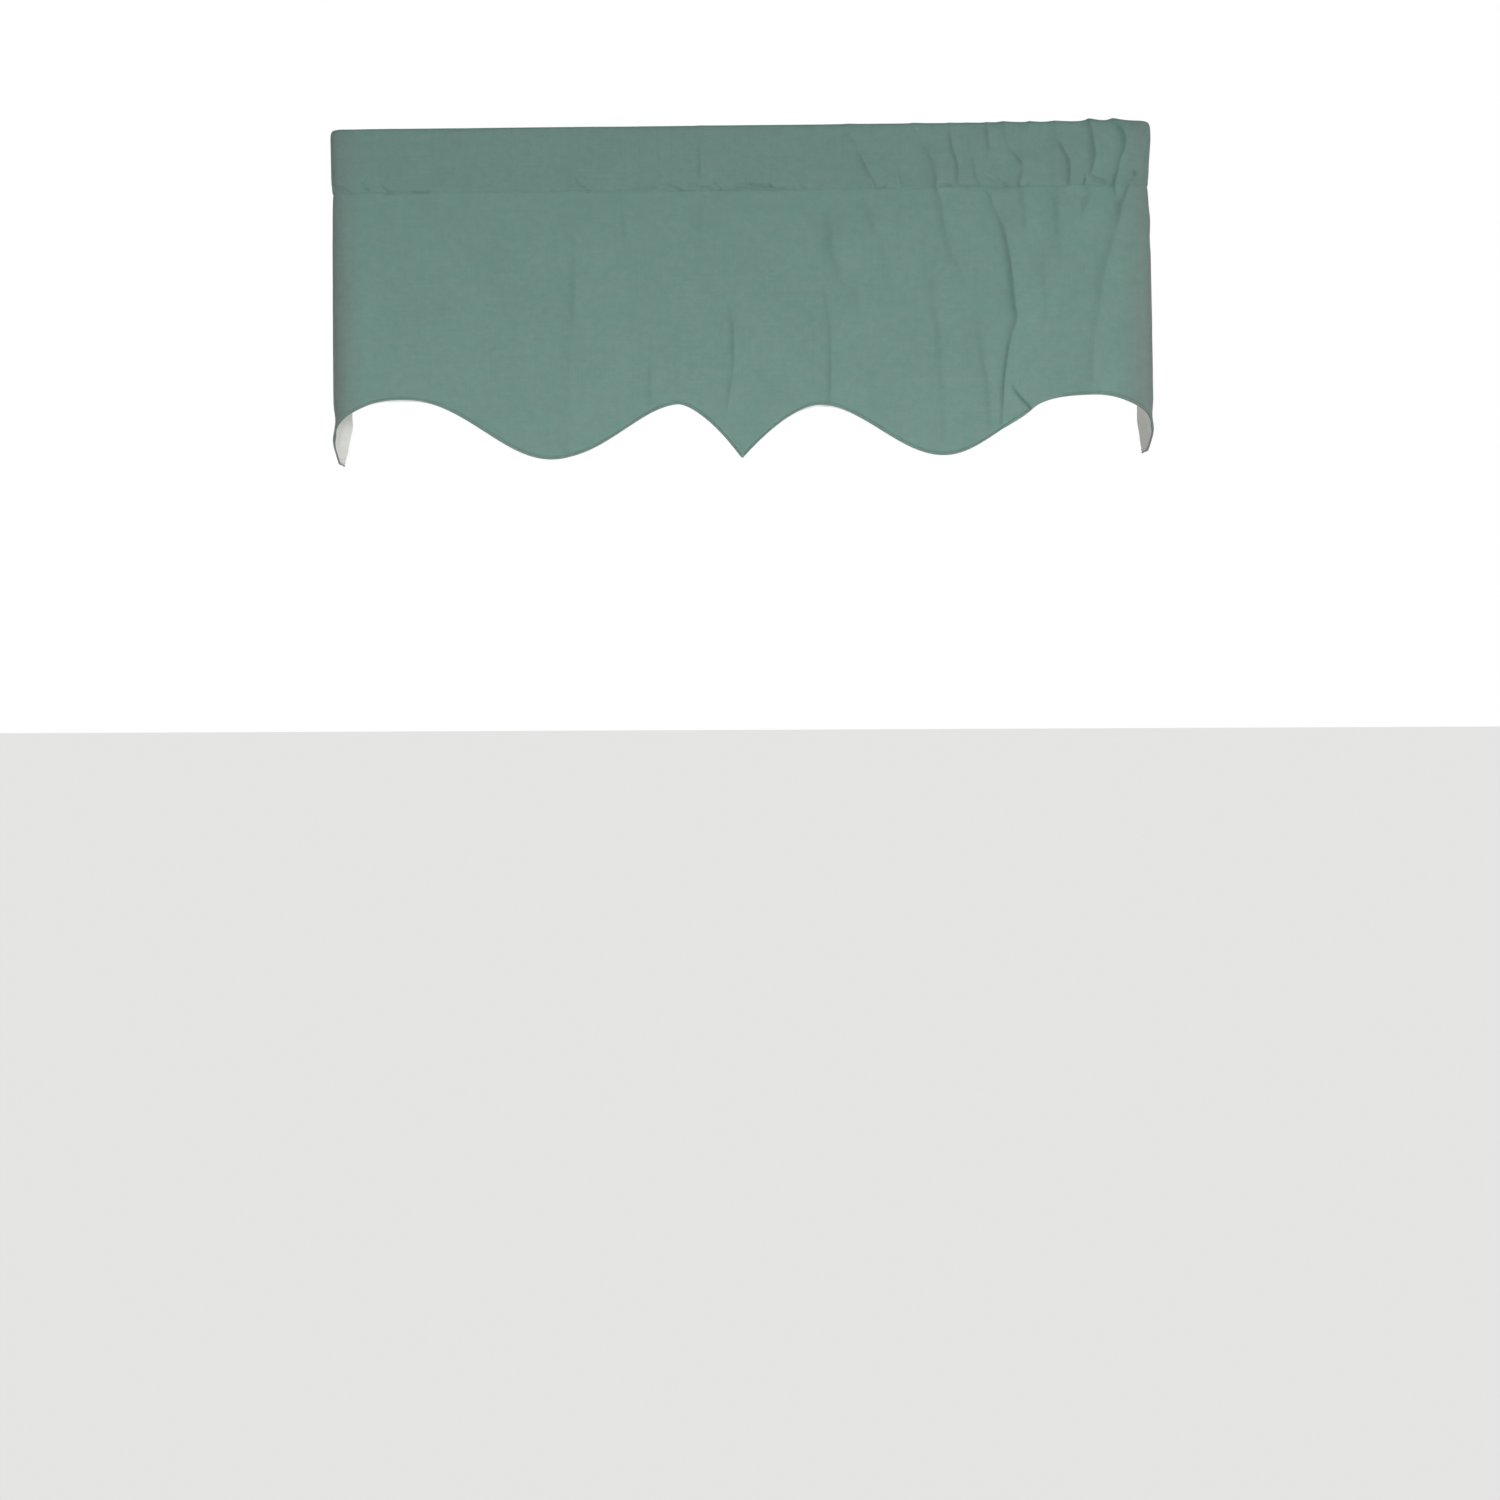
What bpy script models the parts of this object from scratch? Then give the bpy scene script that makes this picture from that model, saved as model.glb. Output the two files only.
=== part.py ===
"""A lined, scalloped window valance with a rod pocket, in the shape in which it hangs.

Run it with blender --background --python part.py, or from Blender's text editor.
Metres, +Z up. +X is to the right, -Y faces the room and +Y is towards the wall. The origin is at the
middle of the top edge, on the middle plane of the pocket's front run.

The cloth runs along one path in plan: from the wall, round the left corner, across the front, round
the right corner and back to the wall. A place on it is given by three measures. "along" is the
distance along the path from the middle of the front, "depth" is the distance below the top edge, and
"offset" is the distance outwards from the path, to the front or to the outer side.

The pocket is one folded strip of cloth. It is parted at its corners into three straight runs, so that
the tunnel through each run stays open at its ends.
"""
import math
from bisect import bisect_right

import bmesh
import bpy

# Driving dimensions
FRONT_WIDTH = 1.003
RETURN_DEPTH = 0.0885
POCKET_HEIGHT = 0.077
POCKET_THICKNESS = 0.011
POCKET_WALL = 0.0016
DROP_TO_LOWEST_HEM = 0.403
FACE_THICKNESS = 0.0015
LINING_THICKNESS = 0.0011
GAP = 0.0003

# How far the drop hangs behind the pocket's front wall
DROP_SET_BACK = 0.002

# Corners round which the cloth turns to the wall, measured on the path
CORNER_AT_POCKET = 0.0065
CORNER_AT_HEM = 0.0245

# How far the drop swings out from the seam to the hem at each side. Low down, the return bulges out
# between the corner and the wall, and its end at the wall turns in a little before it swings out.
LEFT_SWING = {"flare": 0.011, "end_out": 0.011}
RIGHT_SWING = {"flare": 0.015, "end_out": 0.006}
FLARE_POWER = 0.8
RETURN_BULGE = 0.008
RETURN_END_IN = 0.003
RETURN_END_POWER = 5

# The lining is a little shorter than the face, but rolls forward below it at two peaks
LINING_SHORTER = 0.0006
LINING_ROLL = 0.0022
LINING_ROLL_HALF_WIDTH = 0.035

# Worked out from the driving dimensions
HALF_POCKET = POCKET_THICKNESS / 2
PATH_HALF_WIDTH = FRONT_WIDTH / 2 - HALF_POCKET
RETURN_END = RETURN_DEPTH - HALF_POCKET
PATH_HALF_LENGTH = (PATH_HALF_WIDTH + RETURN_END
                    - (2 - math.pi / 2) * CORNER_AT_POCKET)
CORNER_START = PATH_HALF_WIDTH - CORNER_AT_POCKET
FACE_OUTER = HALF_POCKET - DROP_SET_BACK
FACE_INNER = FACE_OUTER - FACE_THICKNESS
LINING_OUTER = FACE_INNER - GAP
LINING_INNER = LINING_OUTER - LINING_THICKNESS

# The hem's turning points. "power" shapes the stretch from this point to the next one, and "eased"
# says whether that stretch is level at its low end too, or runs to a sharp tip.
HEM = (
    {"along": -PATH_HALF_LENGTH, "depth": 0.3975, "power": 1.25, "eased": True},
    {"along": -0.4175, "depth": 0.3285, "power": 1.10, "eased": True},
    {"along": -0.2325, "depth": 0.4023, "power": 0.87, "eased": True},
    {"along": -0.0760, "depth": 0.3361, "power": 1.60, "eased": False},
    {"along": 0.0032, "depth": DROP_TO_LOWEST_HEM, "power": 1.60, "eased": False},
    {"along": 0.0967, "depth": 0.3384, "power": 1.00, "eased": True},
    {"along": 0.2530, "depth": 0.4005, "power": 1.25, "eased": True},
    {"along": 0.4345, "depth": 0.3285, "power": 1.20, "eased": True},
    {"along": PATH_HALF_LENGTH, "depth": 0.3885, "power": 1.00, "eased": True},
)
LINING_SHOWS_AT = (-0.4175, 0.0967)

# Width of the columns of faces, up to a place along the path. The gathered right front has narrow ones.
COLUMNS = (
    {"up_to": -0.512, "width": 0.0160},
    {"up_to": -0.486, "width": 0.0030},
    {"up_to": -0.463, "width": 0.0070},
    {"up_to": 0.130, "width": 0.0130},
    {"up_to": 0.290, "width": 0.0085},
    {"up_to": 0.350, "width": 0.0050},
    {"up_to": 0.463, "width": 0.0080},
    {"up_to": 0.486, "width": 0.0070},
    {"up_to": 0.512, "width": 0.0030},
    {"up_to": PATH_HALF_LENGTH, "width": 0.0160},
)

# Rows of faces down the drop, as shares of the way from the seam to the hem
DROP_ROWS = (0.0, 0.10, 0.22, 0.38, 0.56, 0.74, 0.89, 1.0)

# Troughs in the drop. Each runs down from its top through its middle to its foot, with a ridge on its
# left side. Where a trough reaches the seam or the hem it keeps its depth there.
DROP_FOLDS = (
    {"name": "long crease", "top": 0.305, "middle": 0.333, "foot": 0.321,
     "from": POCKET_HEIGHT, "to": 0.350, "half_width": 0.0085, "trough": 0.0026, "ridge": 0.0032},
    {"name": "short crease at the hem", "top": 0.336, "middle": 0.345, "foot": 0.358,
     "from": 0.310, "to": 0.350, "half_width": 0.0070, "trough": 0.0022, "ridge": 0.0016},
    {"name": "crease left of the tip", "top": -0.0256, "middle": -0.0085, "foot": -0.0140,
     "from": 0.190, "to": 0.345, "half_width": 0.0090, "trough": 0.0016, "ridge": 0.0010},
    {"name": "upper crease right of the tip", "top": 0.108, "middle": 0.114, "foot": 0.137,
     "from": 0.100, "to": 0.210, "half_width": 0.0140, "trough": 0.0018, "ridge": 0.0010},
    {"name": "lower crease right of the tip", "top": 0.104, "middle": 0.110, "foot": 0.110,
     "from": 0.205, "to": 0.345, "half_width": 0.0085, "trough": 0.0014, "ridge": 0.0008},
    {"name": "slanting fold", "top": 0.241, "middle": 0.260, "foot": 0.2876,
     "from": POCKET_HEIGHT, "to": 0.210, "half_width": 0.0120, "trough": 0.0022, "ridge": 0.0012},
    {"name": "thin fold under it", "top": 0.235, "middle": 0.2425, "foot": 0.2487,
     "from": 0.190, "to": 0.345, "half_width": 0.0080, "trough": 0.0012, "ridge": 0.0006},
    {"name": "fold beside the long crease", "top": 0.297, "middle": 0.302, "foot": 0.3077,
     "from": 0.240, "to": 0.350, "half_width": 0.0080, "trough": 0.0010, "ridge": 0.0004},
    {"name": "fold below the second gather", "top": 0.343, "middle": 0.343, "foot": 0.345,
     "from": POCKET_HEIGHT, "to": 0.140, "half_width": 0.0080, "trough": 0.0016, "ridge": 0.0008},
    {"name": "fold below the third gather", "top": 0.389, "middle": 0.389, "foot": 0.376,
     "from": POCKET_HEIGHT, "to": 0.200, "half_width": 0.0090, "trough": 0.0016, "ridge": 0.0008},
    {"name": "fold below the fourth gather", "top": 0.420, "middle": 0.420, "foot": 0.421,
     "from": POCKET_HEIGHT, "to": 0.120, "half_width": 0.0080, "trough": 0.0014, "ridge": 0.0006},
    {"name": "fold by the right corner", "top": 0.472, "middle": 0.468, "foot": 0.463,
     "from": POCKET_HEIGHT, "to": 0.120, "half_width": 0.0080, "trough": 0.0014, "ridge": 0.0006},
)
FOLD_FADE = 0.030
# A ridge stands beside its trough and is a little wider, both as shares of the trough's half width
RIDGE_BESIDE = 1.7
RIDGE_WIDTH = 1.2

# Gathers in the pocket's front wall, from the top edge down to the seam
GATHERS = (
    {"top": -0.046, "middle": -0.046, "seam": -0.046, "half_width": 0.0120, "trough": 0.0004},
    {"top": 0.142, "middle": 0.152, "seam": 0.163, "half_width": 0.0120, "trough": 0.0006},
    {"top": 0.220, "middle": 0.229, "seam": 0.241, "half_width": 0.0085, "trough": 0.0012},
    {"top": 0.259, "middle": 0.267, "seam": 0.264, "half_width": 0.0080, "trough": 0.0012},
    {"top": 0.3015, "middle": 0.287, "seam": 0.2945, "half_width": 0.0080, "trough": 0.0015},
    {"top": 0.321, "middle": 0.330, "seam": 0.343, "half_width": 0.0075, "trough": 0.0014},
    {"top": 0.388, "middle": 0.398, "seam": 0.403, "half_width": 0.0085, "trough": 0.0014},
    {"top": 0.4265, "middle": 0.434, "seam": 0.420, "half_width": 0.0080, "trough": 0.0013},
    {"top": 0.462, "middle": 0.468, "seam": 0.459, "half_width": 0.0110, "trough": 0.0014},
)
# The gathered part of the pocket stands this much prouder between its troughs
GATHER_FULLNESS = 0.0011
GATHERS_START = 0.180
GATHERS_END = 0.490
GATHER_FADE = 0.040

# The pocket's section, from the front of the seam up over the rod and down to the back of the seam.
# "out" is a share of half the pocket's thickness, and "gather" the share of the gathers that a point
# takes. The inside is narrower by the wall, and ends above the seam, where the walls are sewn together:
# "inner" is a share of its own half thickness.
POCKET_SECTION = (
    {"out": 0.67, "depth": POCKET_HEIGHT, "gather": 0.5, "inner": 0.67, "inner_depth": 0.0720},
    {"out": 0.82, "depth": 0.0700, "gather": 0.9, "inner": 0.85, "inner_depth": 0.0670},
    {"out": 0.96, "depth": 0.0620, "gather": 1.0, "inner": 1.00, "inner_depth": 0.0615},
    {"out": 1.00, "depth": 0.0450, "gather": 1.0, "inner": 1.00, "inner_depth": 0.0450},
    {"out": 1.00, "depth": 0.0270, "gather": 1.0, "inner": 1.00, "inner_depth": 0.0270},
    {"out": 0.98, "depth": 0.0100, "gather": 1.0, "inner": 1.00, "inner_depth": 0.0080},
    {"out": 0.76, "depth": 0.0026, "gather": 0.7, "inner": 0.72, "inner_depth": 0.0040},
    {"out": 0.00, "depth": 0.0000, "gather": 0.0, "inner": 0.00, "inner_depth": 0.0020},
    {"out": -0.76, "depth": 0.0026, "gather": 0.0, "inner": -0.72, "inner_depth": 0.0040},
    {"out": -0.98, "depth": 0.0100, "gather": 0.0, "inner": -1.00, "inner_depth": 0.0080},
    {"out": -1.00, "depth": 0.0600, "gather": 0.0, "inner": -1.00, "inner_depth": 0.0590},
    {"out": 0.05, "depth": POCKET_HEIGHT, "gather": 0.0, "inner": 0.20, "inner_depth": 0.0720},
)

# Colours as linear values
SAGE_GREEN = (0.153, 0.262, 0.225, 1.0)
OFF_WHITE = (0.72, 0.72, 0.66, 1.0)


def clamp(value):
    """Keep a share between 0 and 1."""
    return min(max(value, 0.0), 1.0)


def smooth(value):
    """Ease a share in and out."""
    share = clamp(value)
    return share * share * (3 - 2 * share)


def bump(distance, half_width):
    """Give a soft hump that is 1 at its middle and almost gone at twice its half width."""
    return math.exp(-(distance / half_width) ** 2)


def through_three(share, first, middle, last):
    """Follow a smooth curve through three values that are evenly spaced."""
    return (first * (1 - share) * (1 - 2 * share)
            + middle * 4 * share * (1 - share)
            + last * share * (2 * share - 1))


def hem_depth(along):
    """Find how far the hem is below the top edge."""
    starts = [point["along"] for point in HEM]
    index = min(max(bisect_right(starts, along) - 1, 0), len(HEM) - 2)
    left, right = HEM[index], HEM[index + 1]
    peak, low = (left, right) if left["depth"] < right["depth"] else (right, left)
    share = clamp((along - peak["along"]) / (low["along"] - peak["along"]))
    fall = share ** left["power"]
    if left["eased"]:
        fall = (1 - math.cos(math.pi * fall)) / 2
    return peak["depth"] + (low["depth"] - peak["depth"]) * fall


def lining_hem_depth(along):
    """Find the lining's hem, which rolls out below the face's hem at two peaks."""
    roll = sum(bump(along - peak, LINING_ROLL_HALF_WIDTH) for peak in LINING_SHOWS_AT)
    return hem_depth(along) - LINING_SHORTER + LINING_ROLL * roll


def drop_fold(along, depth):
    """Add up the drop's troughs and their ridges at one place, as an offset outwards."""
    offset = 0.0
    for fold in DROP_FOLDS:
        share = clamp((depth - fold["from"]) / (fold["to"] - fold["from"]))
        distance = along - through_three(share, fold["top"], fold["middle"], fold["foot"])
        strength = 1.0
        if fold["from"] > POCKET_HEIGHT:
            strength *= smooth((depth - fold["from"] + FOLD_FADE) / (2 * FOLD_FADE))
        if fold["to"] < hem_depth(along):
            strength *= smooth((fold["to"] + FOLD_FADE - depth) / (2 * FOLD_FADE))
        half_width = fold["half_width"]
        offset -= strength * fold["trough"] * bump(distance, half_width)
        to_ridge = distance + RIDGE_BESIDE * half_width
        offset += strength * fold["ridge"] * bump(to_ridge, RIDGE_WIDTH * half_width)
    return offset


def gather(along, depth):
    """Find how far the pocket's front wall stands out or in, compared with a flat one."""
    share = clamp(depth / POCKET_HEIGHT)
    fade_in = smooth((along - GATHERS_START) / GATHER_FADE)
    fade_out = smooth((GATHERS_END - along) / GATHER_FADE)
    offset = GATHER_FULLNESS * fade_in * fade_out
    for fold in GATHERS:
        distance = along - through_three(share, fold["top"], fold["middle"], fold["seam"])
        offset -= fold["trough"] * bump(distance, fold["half_width"])
    return offset


def place(along, depth, offset):
    """Turn a place on the cloth into world coordinates."""
    side = math.copysign(1.0, along)
    run = abs(along)
    fall = clamp((depth - POCKET_HEIGHT) / (DROP_TO_LOWEST_HEM - POCKET_HEIGHT))
    swings = LEFT_SWING if side < 0 else RIGHT_SWING
    half_width = PATH_HALF_WIDTH + swings["flare"] * fall ** FLARE_POWER
    corner = CORNER_AT_POCKET + (CORNER_AT_HEM - CORNER_AT_POCKET) * fall
    straight = half_width - corner
    quarter = corner * math.pi / 2
    if run <= straight:
        return (along, -offset, -depth)
    if run <= straight + quarter:
        angle = (run - straight) / corner
        x = straight + (corner + offset) * math.sin(angle)
        y = corner - (corner + offset) * math.cos(angle)
        return (side * x, y, -depth)
    back = run - straight - quarter
    share = clamp(back / (RETURN_END - corner))
    bulge = RETURN_BULGE * fall ** 2 * math.sin(math.pi * share)
    end_swing = swings["end_out"] * fall ** RETURN_END_POWER - RETURN_END_IN * fall
    return (side * (half_width + offset + bulge + end_swing * share), corner + back, -depth)


def columns(start=-PATH_HALF_LENGTH, end=PATH_HALF_LENGTH):
    """List the places along the path, between two ends, where the faces' columns meet."""
    places = [-PATH_HALF_LENGTH]
    for zone in COLUMNS:
        zone_start = places[-1]
        zone_width = zone["up_to"] - zone_start
        count = max(1, round(zone_width / zone["width"]))
        places += [zone_start + zone_width * step / count for step in range(1, count + 1)]
    tip = next(point["along"] for point in HEM if point["depth"] == DROP_TO_LOWEST_HEM)
    nearest = min(range(len(places)), key=lambda index: abs(places[index] - tip))
    places[nearest] = tip
    between = [along for along in places if start + GAP < along < end - GAP]
    return [start] + between + [end]


def material(name, color, roughness):
    """Make a plain cloth material."""
    cloth = bpy.data.materials.new(name)
    cloth.use_nodes = True
    shader = cloth.node_tree.nodes["Principled BSDF"]
    shader.inputs["Base Color"].default_value = color
    shader.inputs["Roughness"].default_value = roughness
    shader.inputs["Metallic"].default_value = 0.0
    cloth.diffuse_color = color
    return cloth


def add_object(name, mesh_in_progress, cloth):
    """Turn a finished bmesh into a named object with faces that point outwards."""
    bmesh.ops.recalc_face_normals(mesh_in_progress, faces=mesh_in_progress.faces)
    mesh = bpy.data.meshes.new(name)
    mesh_in_progress.to_mesh(mesh)
    mesh_in_progress.free()
    mesh.materials.append(cloth)
    mesh.shade_smooth()
    mesh.set_sharp_from_angle(angle=math.radians(40))
    bpy.context.scene.collection.objects.link(bpy.data.objects.new(name, mesh))


def quads_between(mesh, first, second):
    """Fill the space between two rows of points with four-sided faces."""
    for index in range(len(first) - 1):
        mesh.faces.new((first[index], first[index + 1], second[index + 1], second[index]))


def hanging_sheet(name, top, bottom_at, outer, inner, cloth):
    """Make a closed sheet of even thickness from its top edge to its hem, with the drop's folds."""
    mesh = bmesh.new()
    surfaces = []
    for surface_offset in (outer, inner):
        grid = []
        for along in columns():
            bottom = bottom_at(along)
            depths = [top + (bottom - top) * share for share in DROP_ROWS]
            grid.append([mesh.verts.new(place(along, depth, surface_offset + drop_fold(along, depth)))
                         for depth in depths])
        for left, right in zip(grid, grid[1:]):
            quads_between(mesh, left, right)
        surfaces.append(grid)
    outside, inside = surfaces
    for row in (0, -1):
        quads_between(mesh, [column[row] for column in outside], [column[row] for column in inside])
    for end in (0, -1):
        quads_between(mesh, outside[end], inside[end])
    add_object(name, mesh, cloth)


def pocket(name, start, end, cloth):
    """Make one run of the flat tube that the rod goes through, open at both of its ends."""
    mesh = bmesh.new()
    outside, inside = [], []
    for along in columns(start, end):
        outer_ring, inner_ring = [], []
        for point in POCKET_SECTION:
            outer = HALF_POCKET * point["out"] + point["gather"] * gather(along, point["depth"])
            inner = (HALF_POCKET - POCKET_WALL) * point["inner"]
            outer_ring.append(mesh.verts.new(place(along, point["depth"], outer)))
            inner_ring.append(mesh.verts.new(place(along, point["inner_depth"], inner)))
        outside.append(outer_ring + outer_ring[:1])
        inside.append(inner_ring + inner_ring[:1])
    for tube in (outside, inside):
        for left, right in zip(tube, tube[1:]):
            quads_between(mesh, left, right)
    for end in (0, -1):
        quads_between(mesh, outside[end], inside[end])
    add_object(name, mesh, cloth)


def clear_scene():
    """Remove what the file starts with."""
    for item in list(bpy.data.objects):
        bpy.data.objects.remove(item, do_unlink=True)


def main():
    """Build the pocket in its three runs, and the two sheets that hang from its seam."""
    clear_scene()
    top = POCKET_HEIGHT + GAP
    front_end = CORNER_START - GAP / 2
    return_start = CORNER_START + GAP / 2
    heading_cloth = material("sage duck, heading", SAGE_GREEN, 0.92)
    pocket("left_pocket", -PATH_HALF_LENGTH, -return_start, heading_cloth)
    pocket("front_pocket", -front_end, front_end, heading_cloth)
    pocket("right_pocket", return_start, PATH_HALF_LENGTH, heading_cloth)
    hanging_sheet("face_panel", top, hem_depth, FACE_OUTER, FACE_INNER,
                  material("sage duck, drop", SAGE_GREEN, 0.92))
    hanging_sheet("lining", top, lining_hem_depth, LINING_OUTER, LINING_INNER,
                  material("off-white lining", OFF_WHITE, 0.85))


main()
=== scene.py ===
# %% [markdown]
# # A lined window valance
#
# The real valance is a strip of sage green cotton duck that hides a flat curtain rod. Its heading is a
# flat tube, or pocket, that the rod slides through. Below the pocket's seam hangs the drop, whose lower
# edge is cut in scallops that rise and fall around a point in the middle, and behind the drop hangs an
# off-white lining. At both ends the rod turns back to the wall, and the cloth turns with it.
#
# A cloth like this could be draped by a simulation. Its folds are few, small and all visible, though, so
# here each cloth starts as a flat grid, as it does on the cutting table, and every point of the grid is
# then moved to the place where it hangs. The folds are short tables of places and sizes.

import math
from collections import namedtuple

import bpy
import numpy as np
from mathutils import Euler, Matrix, Vector


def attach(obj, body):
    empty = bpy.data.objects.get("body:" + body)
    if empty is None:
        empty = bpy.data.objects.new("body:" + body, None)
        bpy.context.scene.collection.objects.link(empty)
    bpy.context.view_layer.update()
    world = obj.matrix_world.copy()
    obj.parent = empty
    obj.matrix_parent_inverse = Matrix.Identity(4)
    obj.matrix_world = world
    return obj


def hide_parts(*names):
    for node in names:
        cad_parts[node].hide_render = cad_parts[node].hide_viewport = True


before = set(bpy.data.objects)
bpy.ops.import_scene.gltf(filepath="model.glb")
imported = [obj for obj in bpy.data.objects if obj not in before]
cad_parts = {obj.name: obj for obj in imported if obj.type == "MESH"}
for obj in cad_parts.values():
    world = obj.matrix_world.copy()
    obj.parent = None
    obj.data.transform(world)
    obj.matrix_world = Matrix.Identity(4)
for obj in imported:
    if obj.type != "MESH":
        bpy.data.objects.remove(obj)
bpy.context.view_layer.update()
print("CAD nodes:", ", ".join(sorted(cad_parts)))

# %% [markdown]
# ## The sizes
#
# Three numbers say where a place on the cloth is. "along" is the distance from the middle of the front,
# measured around the corners, so it runs past the corners to the two ends at the wall. "depth" is the
# distance below the top edge. "offset" is the distance outwards from the middle of the pocket, towards
# the room on the front and away to the side on the returns.

# %% Driving sizes, in metres
PATH_HALF_WIDTH = 0.496
RETURN_END = 0.083
POCKET_HEIGHT = 0.077
DROP_TO_LOWEST_HEM = 0.403

# Half widths and depths of the rounded corners: tight on the rod, and more open towards the hem
CORNER_AT_POCKET = {"wide": 0.0120, "deep": 0.0065}
CORNER_AT_HEM = {"wide": 0.0290, "deep": 0.0245}
CORNER_WIDENS = 0.3

# How each return differs from a straight one. The fall is the share of the way from the seam down to the
# lowest hem. With it the return flares outwards and bulges, and its end swings inwards and then outwards.
# It has a narrow waist and is tucked in from a given fall downwards.
FLARE_POWER = 0.8
RETURN_BULGE = 0.0105
BULGE_POWER = 3
BULGE_LEAN = 0.4
RETURN_END_IN = 0.0065
LEFT_SWING = {"flare": 0.0110, "waist": 0.0023, "tuck": 0.40, "tuck_from": 0.890,
              "end_out": 0.0145, "power": 9}
RIGHT_SWING = {"flare": 0.0168, "waist": 0.0014, "tuck": 0.50, "tuck_from": 0.865,
               "end_out": 0.0095, "power": 12}
WAIST_AT = 0.835
WAIST_HALF_HEIGHT = 0.035
TUCK_HEIGHT = 0.06

PATH_HALF_LENGTH = PATH_HALF_WIDTH + RETURN_END - (2 - math.pi / 2) * CORNER_AT_POCKET["deep"]

DUCK_THICKNESS = 0.0006
LINING_THICKNESS = 0.0004

print(f"Path from wall to wall: {2 * PATH_HALF_LENGTH:.3f} m")

# %% [markdown]
# ## From the cloth to the room
#
# The cloth follows the rod: straight along the front, around a quarter of an ellipse, and back to the wall.
# Lower down, the corner is wider and the return swings a little outwards. One function turns any place on
# the cloth into a place in the room, for thousands of points at once.

# %% Place the cloth
def smooth(value):
    """Ease a share in and out between 0 and 1."""
    share = np.clip(value, 0.0, 1.0)
    return share * share * (3 - 2 * share)


def between(start, end, share):
    """Find the value at a share of the way from a start to an end."""
    return start + (end - start) * share


def place(along, depth, offset):
    """Turn places on the cloth into world coordinates."""
    side = np.where(along < 0, -1.0, 1.0)
    run = np.abs(along)
    fall = np.clip((depth - POCKET_HEIGHT) / (DROP_TO_LOWEST_HEM - POCKET_HEIGHT), 0.0, 1.0)
    swing = {name: np.where(along < 0, LEFT_SWING[name], RIGHT_SWING[name]) for name in LEFT_SWING}
    half_width = PATH_HALF_WIDTH + swing["flare"] * fall ** FLARE_POWER
    waist = swing["waist"] * np.exp(-((fall - WAIST_AT) / WAIST_HALF_HEIGHT) ** 2)
    wide = between(CORNER_AT_POCKET["wide"], CORNER_AT_HEM["wide"], fall ** CORNER_WIDENS)
    deep = between(CORNER_AT_POCKET["deep"], CORNER_AT_HEM["deep"], fall)
    straight = half_width - wide
    quarter = np.sqrt((wide ** 2 + deep ** 2) / 2) * math.pi / 2
    angle = (run - straight) / quarter * math.pi / 2
    back = run - straight - quarter
    share = np.clip(back / (RETURN_END - deep), 0.0, 1.0)
    bulge = RETURN_BULGE * fall ** BULGE_POWER * np.sin(math.pi * share)
    bulge = bulge * (1 + BULGE_LEAN * np.cos(math.pi * share))
    bulge = bulge * (1 - swing["tuck"] * smooth((fall - swing["tuck_from"]) / TUCK_HEIGHT))
    end_swing = swing["end_out"] * fall ** swing["power"] - RETURN_END_IN * fall
    on_front = angle <= 0
    on_corner = back <= 0
    steepness = np.hypot(wide * np.cos(angle), deep * np.sin(angle))
    corner_x = side * (straight + (wide - waist + offset * deep / steepness) * np.sin(angle))
    return_x = side * (half_width - waist + offset + bulge + end_swing * share)
    x = np.where(on_front, along, np.where(on_corner, corner_x, return_x))
    corner_y = deep - (deep + offset * wide / steepness) * np.cos(angle)
    y = np.where(on_front, -offset, np.where(on_corner, corner_y, deep + back))
    return x, y, -depth


seam_end = place(PATH_HALF_LENGTH, POCKET_HEIGHT, 0.0)
print("The seam's right end is at", ", ".join(f"{float(value):.3f}" for value in seam_end))

# %% [markdown]
# ## The scalloped hem
#
# The hem rises to four peaks and falls to two soft lobes, to a sharp point in the middle, and to both ends
# at the wall. From each of these places to the next it follows one curve, so nine rows describe all of it.
# A row's power and whether it is eased shape the curve from there to the next place. The scallops could be
# cut out of a finished grid with a knife or a Boolean, but that leaves small, uneven faces along the edge.
# Here the rows of points are spaced so that the last one lies on the hem, and its edge stays smooth.

# %% Find the hem
HemPlace = namedtuple("HemPlace", "along depth power eased")

HEM = (
    HemPlace(-PATH_HALF_LENGTH, 0.3975, 1.25, True),
    HemPlace(-0.4175, 0.3285, 1.10, True),
    HemPlace(-0.2325, 0.4023, 0.87, True),
    HemPlace(-0.0760, 0.3361, 1.60, False),
    HemPlace(0.0032, DROP_TO_LOWEST_HEM, 1.60, False),
    HemPlace(0.0967, 0.3384, 1.00, True),
    HemPlace(0.2530, 0.4005, 1.25, True),
    HemPlace(0.4345, 0.3285, 1.20, True),
    HemPlace(PATH_HALF_LENGTH, 0.3885, 1.00, True),
)
STRAIGHT_PAST_CORNER = (0.505, 0.562)
LINING_SHORTER = 0.0004
LINING_ROLL = 0.0020
LINING_ROLL_HALF_WIDTH = 0.035
LINING_SHOWS_AT = (-0.4175, 0.0967)


def eased_hem(along):
    """Follow the table of the hem's peaks and low places with a curve from each to the next."""
    depth = np.zeros_like(along)
    for left, right in zip(HEM, HEM[1:]):
        peak, low = (left, right) if left.depth < right.depth else (right, left)
        share = np.clip((along - peak.along) / (low.along - peak.along), 0.0, 1.0)
        fall = share ** left.power
        if left.eased:
            fall = (1 - np.cos(math.pi * fall)) / 2
        here = (along >= left.along) & (along <= right.along)
        depth = np.where(here, between(peak.depth, low.depth, fall), depth)
    depth = np.where(along < HEM[0].along, HEM[0].depth, depth)
    return np.where(along > HEM[-1].along, HEM[-1].depth, depth)


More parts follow.
